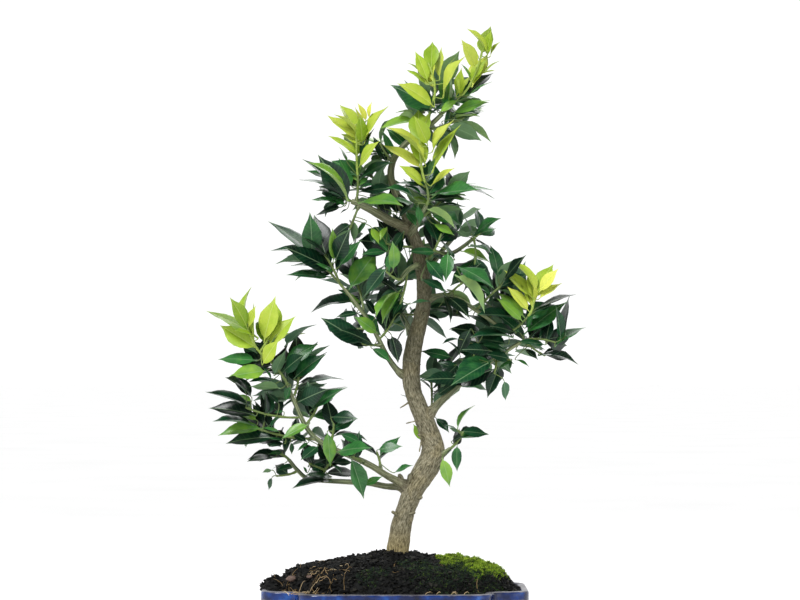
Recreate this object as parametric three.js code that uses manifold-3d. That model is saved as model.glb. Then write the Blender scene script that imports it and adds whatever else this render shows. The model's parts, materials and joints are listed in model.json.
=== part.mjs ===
// A myrtle-leaf orange grown as a bonsai, about 640 mm tall with its glazed pot.
//
// A lobed pot on four bracket feet holds two drainage screens, a mound of dark bark soil and a moss
// cushion. One woody piece, the trunk with its branches and spurs, stands in a hole in the soil. Each
// spur carries a leafy shoot, and the youngest shoots stand on the ends of older ones.
// Units are millimetres, +Z is up, and +Y points away from the tree's front.
import * as THREE from 'three';
import { mergeVertices } from 'three/addons/utils/BufferGeometryUtils.js';
import Module from 'manifold-3d';

const wasm = await Module();
wasm.setup();

// Driving dimensions
const GAP = 0.3; // between pieces that touch
const POT = { halfWidth: 131, halfDepth: 98, height: 78, notchX: 37, notchY: 36, cornerR: 22, notchR: 12 };
const FOOT_HEIGHT = 9;
const FLOOR_TOP = 19;
const DRAIN = { x: 50, r: 8 };
const SCREEN = { size: 28, thick: 1.6, openings: 2, barWidth: 3 };
const SOIL = { inset: 9.6, edgeZ: 76, shoulder: 19, peak: 20, crumb: 1.4 };
const MOSS = { x: 74, y: -16, rx: 34, ry: 38, height: 8 };
const STEM = { r: 1.3, tipR: 0.95, sides: 3, steps: 3 };
const LEAF = { widthShare: 0.42, thick: 0.9, shortest: 17 };
const GOLDEN_ANGLE = THREE.MathUtils.degToRad(137.5);

// Closed solids from rings of points
// A skin joins rings with the same number of points, in order, and closes each end with a fan, from its
// first point or, where one is given, from a middle point.
function skin(rings, startPoint = null, endPoint = null) {
  const n = rings[0].length;
  const points = rings.flat();
  const faces = [];
  for (let i = 0; i + 1 < rings.length; i++) {
    for (let j = 0; j < n; j++) {
      const a = i * n + j;
      const b = i * n + ((j + 1) % n);
      faces.push(a, b, b + n, a, b + n, a + n);
    }
  }
  const last = (rings.length - 1) * n;
  if (startPoint) {
    points.push(startPoint);
    for (let j = 0; j < n; j++) faces.push((j + 1) % n, j, points.length - 1);
  } else {
    for (let j = 1; j + 1 < n; j++) faces.push(0, j + 1, j);
  }
  if (endPoint) {
    points.push(endPoint);
    for (let j = 0; j < n; j++) faces.push(last + j, last + ((j + 1) % n), points.length - 1);
  } else {
    for (let j = 1; j + 1 < n; j++) faces.push(last, last + j, last + j + 1);
  }
  return { points, faces };
}

function solidOf({ points, faces }) {
  return new wasm.Manifold(new wasm.Mesh({
    numProp: 3,
    vertProperties: new Float32Array(points.flatMap((p) => [p.x, p.y, p.z])),
    triVerts: new Uint32Array(faces),
  }));
}

function solidOfGeometry(geometry) {
  const bare = geometry.clone();
  bare.deleteAttribute('normal');
  bare.deleteAttribute('uv');
  const merged = mergeVertices(bare, 1e-4);
  return new wasm.Manifold(new wasm.Mesh({
    numProp: 3,
    vertProperties: merged.attributes.position.array,
    triVerts: new Uint32Array(merged.index.array),
  }));
}

const SMALLEST_STEP = 0.02;   // edges shorter than this, left where bodies are united, are closed up

function meshOf(solid, name, material) {
  const largest = solid.decompose().sort((a, b) => b.volume() - a.volume())[0];
  const made = largest.simplify(SMALLEST_STEP).getMesh();
  const geometry = new THREE.BufferGeometry();
  geometry.setAttribute('position', new THREE.BufferAttribute(new Float32Array(made.vertProperties), 3));
  geometry.setIndex(new THREE.BufferAttribute(new Uint32Array(made.triVerts), 1));
  geometry.computeVertexNormals();
  const mesh = new THREE.Mesh(geometry, material.clone());
  mesh.name = name;
  return mesh;
}

const unite = (solids) => wasm.Manifold.union(solids);
const boxAt = (x, y, z, w, d, h) => solidOfGeometry(new THREE.BoxGeometry(w, d, h).translate(x, y, z));
const postAt = (x, y, z, r, h, sides = 24) =>
  solidOfGeometry(new THREE.CylinderGeometry(r, r, h, sides).rotateX(Math.PI / 2).translate(x, y, z));

// Materials
const paint = (color, roughness) => new THREE.MeshStandardMaterial({ color, roughness, metalness: 0 });
const glaze = paint(0x1f3f9a, 0.2);
const screenPlastic = paint(0x1c1c1c, 0.6);
const barkSoil = paint(0x1d1a17, 0.95);
const mossGreen = paint(0x5f8a1c, 0.9);
const bark = paint(0x8b7a60, 0.85);
const matureLeaf = paint(0x2f5c38, 0.4);
const youngLeaf = paint(0xa9c63c, 0.45);

// Pot
// Two rounded rectangles laid crosswise give four lobes, with a filleted notch at each corner.
function lobedOutline(inset, z, turnSteps = 2, notchSteps = 1) {
  const { halfWidth, halfDepth, notchX, notchY, cornerR, notchR } = POT;
  const quarter = [];
  const arc = (cx, cy, r, from, to, steps) => {
    for (let i = 0; i <= steps; i++) {
      const angle = from + ((to - from) * i) / steps;
      quarter.push(new THREE.Vector2(cx + r * Math.cos(angle), cy + r * Math.sin(angle)));
    }
  };
  const turnR = Math.max(cornerR - inset, 1);
  const sideX = halfWidth - inset;
  const sideY = halfDepth - notchY - inset;
  const frontX = halfWidth - notchX - inset;
  const frontY = halfDepth - inset;
  arc(sideX - turnR, sideY - turnR, turnR, 0, Math.PI / 2, turnSteps);
  arc(frontX + notchR, sideY + notchR, notchR, -Math.PI / 2, -Math.PI, notchSteps);
  arc(frontX - turnR, frontY - turnR, turnR, 0, Math.PI / 2, turnSteps);
  const back = [...quarter].reverse();
  return [
    ...quarter,
    ...back.map((p) => new THREE.Vector2(-p.x, p.y)),
    ...quarter.map((p) => new THREE.Vector2(-p.x, -p.y)),
    ...back.map((p) => new THREE.Vector2(p.x, -p.y)),
  ].map((p) => new THREE.Vector3(p.x, p.y, z));
}

function loft(levels, turnSteps, notchSteps) {
  const rings = levels.map(([z, inset]) => lobedOutline(inset, z, turnSteps, notchSteps));
  return solidOf(skin(rings, new THREE.Vector3(0, 0, levels[0][0]), new THREE.Vector3(0, 0, levels.at(-1)[0])));
}
const CAVITY = [[FLOOR_TOP, 20], [70, 10], [POT.height + 1, 6.6]];

function makePot() {
  const body = loft([
    [FOOT_HEIGHT - 1, 17], [60, 7.5], [66, 1.5], [69, 0], [POT.height - 1.5, 0], [POT.height, 1.5],
  ], 3, 2);
  const feetRing = loft([[0, 19.5], [FOOT_HEIGHT, 17.5]]).subtract(loft([[-1, 29], [FOOT_HEIGHT + 1, 29]]));
  const feetSpan = unite([-1, 1].flatMap((sx) => [-1, 1].map((sy) => boxAt(sx * 93, sy * 65, 5, 90, 78, 12))));
  const holes = unite([-1, 1].map((side) => postAt(side * DRAIN.x, 0, 14, DRAIN.r, 24, 12)));
  const pot = body.add(feetRing.intersect(feetSpan)).subtract(loft(CAVITY)).subtract(holes);
  return meshOf(pot, 'pot', glaze);
}

// Drainage screens: a square plastic grid over each hole, under the soil
function makeScreen(name, x) {
  const { size, thick, openings, barWidth } = SCREEN;
  const z = FLOOR_TOP + GAP + thick / 2;
  const pitch = (size - barWidth) / openings;
  const cut = [];
  for (let i = 0; i < openings; i++) {
    for (let j = 0; j < openings; j++) {
      const [u, v] = [i, j].map((k) => (k - (openings - 1) / 2) * pitch);
      cut.push(boxAt(x + u, v, z, pitch - barWidth, pitch - barWidth, thick * 2));
    }
  }
  return meshOf(boxAt(x, 0, z, size, size, thick).subtract(unite(cut)), name, screenPlastic);
}

// Soil: fills the pot and mounds up to the trunk, with coarse crumbs as relief
function soilHeight(x, y, edgeShare) {
  const out = Math.min(1, Math.hypot(x / (POT.halfWidth - SOIL.inset), y / (POT.halfDepth - SOIL.inset)));
  const mound = SOIL.shoulder * (1 - out ** 16) + SOIL.peak * (1 - out) ** 1.3;
  const crumbs = Math.sin(x * 0.61 + 2.1 * Math.sin(y * 0.37)) * Math.sin(y * 0.67 + 1.7 * Math.sin(x * 0.31));
  return SOIL.edgeZ + mound * (1 - edgeShare ** 16) + SOIL.crumb * crumbs;
}

function soilTop() {
  const shares = [1, 0.93, 0.83, 0.68, 0.5, 0.34, 0.18];
  const edge = lobedOutline(SOIL.inset, 0);
  return shares.map((share) => edge.map((p) => {
    const x = p.x * share;
    const y = p.y * share;
    return new THREE.Vector3(x, y, soilHeight(x, y, share));
  }));
}

function makeSoil(trunkHole, screens) {
  const below = [[FLOOR_TOP + GAP, 20.4], [69, 10.8]].map(([z, inset]) => lobedOutline(inset, z));
  const peak = new THREE.Vector3(0, 0, soilHeight(0, 0, 0));
  const solid = solidOf(skin([...below, ...soilTop()], new THREE.Vector3(0, 0, FLOOR_TOP + GAP), peak));
  return solid.subtract(trunkHole).subtract(screens);
}

// Moss cushion: a low bumpy dome that lies on the soil
function makeMoss(soil) {
  const { x: cx, y: cy, rx, ry, height } = MOSS;
  const spokes = 18;
  const ring = (share, zOf) => Array.from({ length: spokes }, (_, j) => {
    const angle = (j / spokes) * 2 * Math.PI;
    const wave = 1 + 0.09 * Math.sin(3 * angle + 1) + 0.06 * Math.sin(7 * angle);
    const x = cx + rx * share * wave * Math.cos(angle);
    const y = cy + ry * share * wave * Math.sin(angle);
    return new THREE.Vector3(x, y, zOf(x, y, share));
  });
  const groundShare = (x, y) => Math.max(Math.abs(x) / (POT.halfWidth - SOIL.inset), Math.abs(y) / POT.halfDepth);
  const top = (x, y, share) => {
    const tufts = Math.sin(x * 1.3 + Math.sin(y)) * Math.sin(y * 1.1 + Math.sin(x * 0.9));
    return soilHeight(x, y, groundShare(x, y)) - SOIL.crumb * 0.5 + (height + 1.6 * tufts) * (1 - share ** 3);
  };
  const rings = [ring(1, () => 60), ...[1, 0.86, 0.66, 0.42, 0.2].map((s) => ring(s, top))];
  const dome = solidOf(skin(rings, null, new THREE.Vector3(cx, cy, top(cx, cy, 0))));
  return dome.subtract(soil.translate([0, 0, GAP + 0.1])).subtract(soil);
}

// Wood
// Each branch is a smooth curve through [x, y, z, radius] points that starts inside what it grows from.
const BRANCHES = {
  trunk: [
    [-3, 1, 62, 8.5], [0, 0, 96, 10.5], [3, 0, 115, 11.2], [6, -1, 136, 10.3], [10, -2, 152, 9.6],
    [15, -3, 166, 9.8], [22, -4, 181, 11], [32, -2, 196, 12], [38, 2, 211, 12], [36, 3, 224, 10.6],
    [30, 1, 241, 9.4], [23, -2, 258, 8.8], [18, -3, 272, 8.4], [16, -1, 289, 9], [17, 2, 306, 9],
    [20, 4, 322, 8.4], [24, 3, 338, 7.6], [28, 0, 356, 7.4], [29, -2, 374, 7.2], [26, -3, 397, 6.8],
    [22, 0, 416, 6.4], [16, 2, 432, 6.2],
  ],
  leader: [
    [16, 2, 432, 5.6], [10, 0, 449, 4.6], [2, -2, 467, 4], [-4, 0, 485, 3.6], [-2, 3, 501, 3.3],
    [7, 4, 515, 3], [21, 3, 527, 2.8], [36, 1, 538, 2.5], [47, -1, 548, 2.2],
  ],
  crown_left: [
    [16, 1, 431, 5.4], [4, -6, 437, 4.8], [-9, -12, 443, 4.4], [-23, -14, 451, 3.8], [-35, -14, 457, 3.2],
    [-43, -13, 460, 2.6],
  ],
  crown_right: [[15, -2, 428, 4], [21, -10, 437, 3], [26, -16, 446, 2.5], [31, -18, 455, 2.2]],
  right_up: [[23, 0, 412, 4], [34, 5, 412, 2.8], [47, 7, 409, 2.3], [58, 7, 410, 2.1], [68, 5, 416, 1.9],
    [77, 3, 423, 1.8]],
  right_mid: [[29, 0, 361, 4], [41, -4, 366, 2.7], [53, -7, 367, 2.4], [67, -9, 361, 2.2], [82, -9, 351, 2.1],
    [95, -8, 342, 1.9], [107, -7, 333, 1.8]],
  right_low: [[30, 0, 244, 6], [37, -2, 253, 4.6], [47, -5, 263, 3.6], [58, -8, 273, 3.1], [71, -9, 284, 2.7],
    [85, -7, 294, 2.4], [100, -4, 304, 2.1], [113, -2, 313, 1.9], [124, -1, 320, 1.8]],
  left_mid: [[12, 0, 285, 4], [2, -5, 293, 3], [-8, -9, 307, 2.6], [-16, -11, 323, 2.3], [-25, -11, 340, 2.1],
    [-38, -9, 358, 1.9], [-51, -7, 374, 1.7]],
  left_low_a: [[16, -2, 175, 6], [6, -6, 181, 4.2], [-9, -10, 189, 3.4], [-23, -14, 198, 3.1],
    [-39, -17, 206, 2.9], [-56, -18, 213, 2.7], [-72, -16, 221, 2.5], [-84, -13, 231, 2.4],
    [-93, -10, 246, 2.2], [-100, -8, 262, 2], [-106, -8, 277, 1.8]],
  left_low_b: [[16, 0, 171, 6], [5, 5, 176, 3.8], [-9, 10, 177, 3.1], [-27, 15, 180, 2.8], [-47, 19, 181, 2.6],
    [-68, 22, 182, 2.4], [-87, 22, 184, 2.2], [-98, 20, 193, 2], [-106, 18, 203, 1.8]],
  back_left: [[19, 4, 323, 4], [12, 20, 338, 3], [3, 38, 355, 2.5], [-5, 54, 370, 2]],
  back_right: [[28, 0, 384, 4], [38, 17, 400, 3], [49, 35, 415, 2.4], [60, 51, 428, 2]],
  front: [[26, -2, 396, 4], [19, -18, 395, 2.8], [12, -33, 390, 2.3], [6, -46, 382, 2]],
  low_right: [[39, 2, 207, 6], [48, -4, 210, 2.6], [55, -6, 215, 2]],
};
// Short sawn-off stubs where old branches were pruned: [x, y, z] root, [x, y, z] end, radius
const STUBS = [
  [[10, -6, 176], [4, -10, 190], 2.6],
  [[14, -7, 176], [15, -12, 190], 2.2],
  [[16, -4, 164], [27, -10, 167], 2],
  [[34, 0, 224], [23, -9, 229], 1.8],
];
const BARK_FLUTES = 3;
const BARK_FLUTE_DEPTH = 0.07;

const curveThrough = (points) =>
  new THREE.CatmullRomCurve3(points.map(([x, y, z]) => new THREE.Vector3(x, y, z)), false, 'catmullrom', 0.5);

function radiusAlong(points, t) {
  const place = Math.min(t * (points.length - 1), points.length - 1.000001);
  const i = Math.floor(place);
  return points[i][3] + (points[i + 1][3] - points[i][3]) * (place - i);
}

// Rings square to a curve, turned as little as possible from one to the next
const REFERENCE = new THREE.Vector3(0.3, 0.8, 0.5);

function ringsAlong(curve, radiusAt, steps, sides, flute = 0, facing = REFERENCE) {
  const rings = [];
  let across = facing;
  for (let i = 0; i <= steps; i++) {
    const t = i / steps;
    const centre = curve.getPoint(t);
    const along = curve.getTangent(t);
    across = across.clone().addScaledVector(along, -across.dot(along)).normalize();
    const other = along.clone().cross(across);
    rings.push(Array.from({ length: sides }, (_, j) => {
      const angle = (j / sides) * 2 * Math.PI;
      const r = radiusAt(t) * (1 + flute * Math.sin(BARK_FLUTES * angle + 5 * t));
      return centre.clone().addScaledVector(across, r * Math.cos(angle)).addScaledVector(other, r * Math.sin(angle));
    }));
  }
  return rings;
}

const straight = (a, b) => new THREE.LineCurve3(new THREE.Vector3(...a), new THREE.Vector3(...b));

function branchSkin(points, isTrunk) {
  const curve = curveThrough(points);
  const steps = isTrunk ? 25 : points.length - 1;
  const flute = isTrunk ? BARK_FLUTE_DEPTH : 0;
  return skin(ringsAlong(curve, (t) => radiusAlong(points, t), steps, isTrunk ? 8 : 5, flute));
}

// Shoots
// [name, what it grows from, where along it from 0 to 1, tip [x, y, z], leaves on its far side, their length]
// A shoot that grows from another of its kind is a fork in the same node. A young shoot stands on the end
// of a mature one.
const SHOOTS = [
  ['young_top', 'top_main', 1, [88, -5, 617], 2, 44],
  ['young_top_left', 'top_left', 1, [33, -12, 598], 2, 44],
  ['young_crown', 'crown_front', 1, [25, -22, 527], 2, 46],
  ['young_crown_left', 'crown_left_top', 1, [-38, -16, 537], 2, 48],
  ['young_right', 'right_mid_tip', 1, [138, -11, 373], 2, 42],
  ['young_lower_left', 'lower_left_tip', 1, [-143, -20, 328], 2, 50],
  ['young_lower_left_b', 'young_lower_left', 0.2, [-120, -10, 334], 2, 46],
  ['top_main', 'leader', 1, [66, -3, 566], 1, 45],
  ['top_left', 'leader', 0.86, [38, -9, 560], 1, 47],
  ['top_right', 'leader', 0.8, [70, 14, 546], 1, 45],
  ['top_back', 'leader', 0.7, [45, 26, 578], 4, 43],
  ['top_inner', 'leader', 0.5, [-15, 10, 520], 1, 43],
  ['crown_front', 'crown_right', 1, [30, -20, 478], 1, 49],
  ['crown_side', 'crown_right', 0.5, [62, 8, 478], 1, 45],
  ['crown_left_top', 'crown_left', 0.88, [-37, -14, 486], 1, 47],
  ['crown_left_side', 'crown_left', 1, [-66, -16, 486], 1, 49],
  ['crown_left_back', 'crown_left', 0.5, [-24, 26, 490], 4, 45],
  ['crown_left_low', 'crown_left', 0.8, [-45, -8, 432], 1, 43],
  ['upper_left_tip', 'left_mid', 1, [-84, -8, 410], 1, 47],
  ['upper_left_b', 'upper_left_tip', 0.15, [-70, -18, 408], 1, 45],
  ['upper_left_back', 'left_mid', 0.75, [-44, 12, 396], 4, 45],
  ['left_mid_low', 'left_mid', 0.62, [-57, -6, 336], 1, 47],
  ['left_mid_front', 'left_mid', 0.45, [-33, -18, 319], 1, 47],
  ['left_mid_right', 'left_mid', 0.5, [-1, -24, 344], 1, 45],
  ['centre_front_left', 'front', 1, [-9, -56, 389], 1, 47],
  ['centre_front_low', 'front', 0.65, [5, -48, 357], 1, 47],
  ['centre_left', 'trunk', 0.95, [-9, -16, 418], 1, 45],
  ['centre_right', 'trunk', 0.9, [46, -14, 428], 1, 47],
  ['back_left_a', 'back_left', 1, [-29, 70, 381], 4, 45],
  ['back_left_b', 'back_left_a', 0.2, [18, 72, 392], 4, 45],
  ['back_left_low', 'back_left', 0.55, [30, 50, 349], 4, 45],
  ['back_right_a', 'back_right', 1, [62, 62, 440], 4, 45],
  ['back_right_b', 'back_right_a', 0.2, [30, 60, 455], 4, 45],
  ['right_up_tip', 'right_up', 1, [88, 1, 432], 1, 43],
  ['right_up_low', 'right_up_tip', 0.15, [79, -8, 397], 1, 45],
  ['right_mid_tip', 'right_mid', 1, [132, -10, 346], 1, 45],
  ['right_mid_up', 'right_mid', 0.65, [105, -6, 376], 1, 47],
  ['right_mid_inner', 'right_mid', 0.35, [69, -22, 380], 1, 47],
  ['right_mid_back', 'right_mid', 0.8, [116, 24, 362], 4, 45],
  ['right_low_tip', 'right_low', 1, [160, -4, 320], 1, 47],
  ['right_low_out', 'right_low_tip', 0.2, [150, 6, 307], 1, 43],
  ['right_low_drop', 'right_low', 0.75, [98, -16, 289], 1, 45],
  ['right_low_mid', 'right_low', 0.55, [82, -16, 319], 1, 49],
  ['right_low_in', 'right_low', 0.4, [52, 12, 298], 1, 43],
  ['right_low_back', 'right_low', 0.65, [93, 30, 315], 4, 45],
  ['low_shoot', 'low_right', 1, [68, -8, 232], 1, 38],
  ['lower_left_tip', 'left_low_a', 1, [-131, -15, 308], 1, 47],
  ['lower_left_up', 'left_low_a', 0.92, [-95, -2, 296], 1, 47],
  ['lower_left_out', 'left_low_a', 0.8, [-148, -16, 256], 1, 52],
  ['lower_left_in', 'left_low_a', 0.75, [-75, -6, 262], 1, 47],
  ['lower_left_low', 'left_low_a', 0.65, [-140, -6, 236], 1, 47],
  ['lower_left_mid', 'left_low_a', 0.55, [-60, -22, 240], 1, 47],
  ['lower_left_hang', 'left_low_a', 0.35, [-42, -31, 208], 1, 45],
  ['lower_left_single', 'left_low_a', 0.24, [-18, -14, 212], 0, 30],
  ['lower_left_back', 'left_low_a', 0.85, [-109, 26, 274], 4, 45],
  ['base_left_tip', 'left_low_b', 1, [-119, 12, 211], 1, 38],
  ['base_left_low', 'left_low_b', 0.86, [-119, 16, 187], 1, 32],
  ['base_left_mid', 'left_low_b', 0.66, [-66, 16, 199], 1, 40],
  ['base_left_b', 'base_left_mid', 0.6, [-86, 10, 200], 1, 36],
  ['low_back', 'trunk', 0.45, [36, 38, 289], 4, 40],
];
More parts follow.
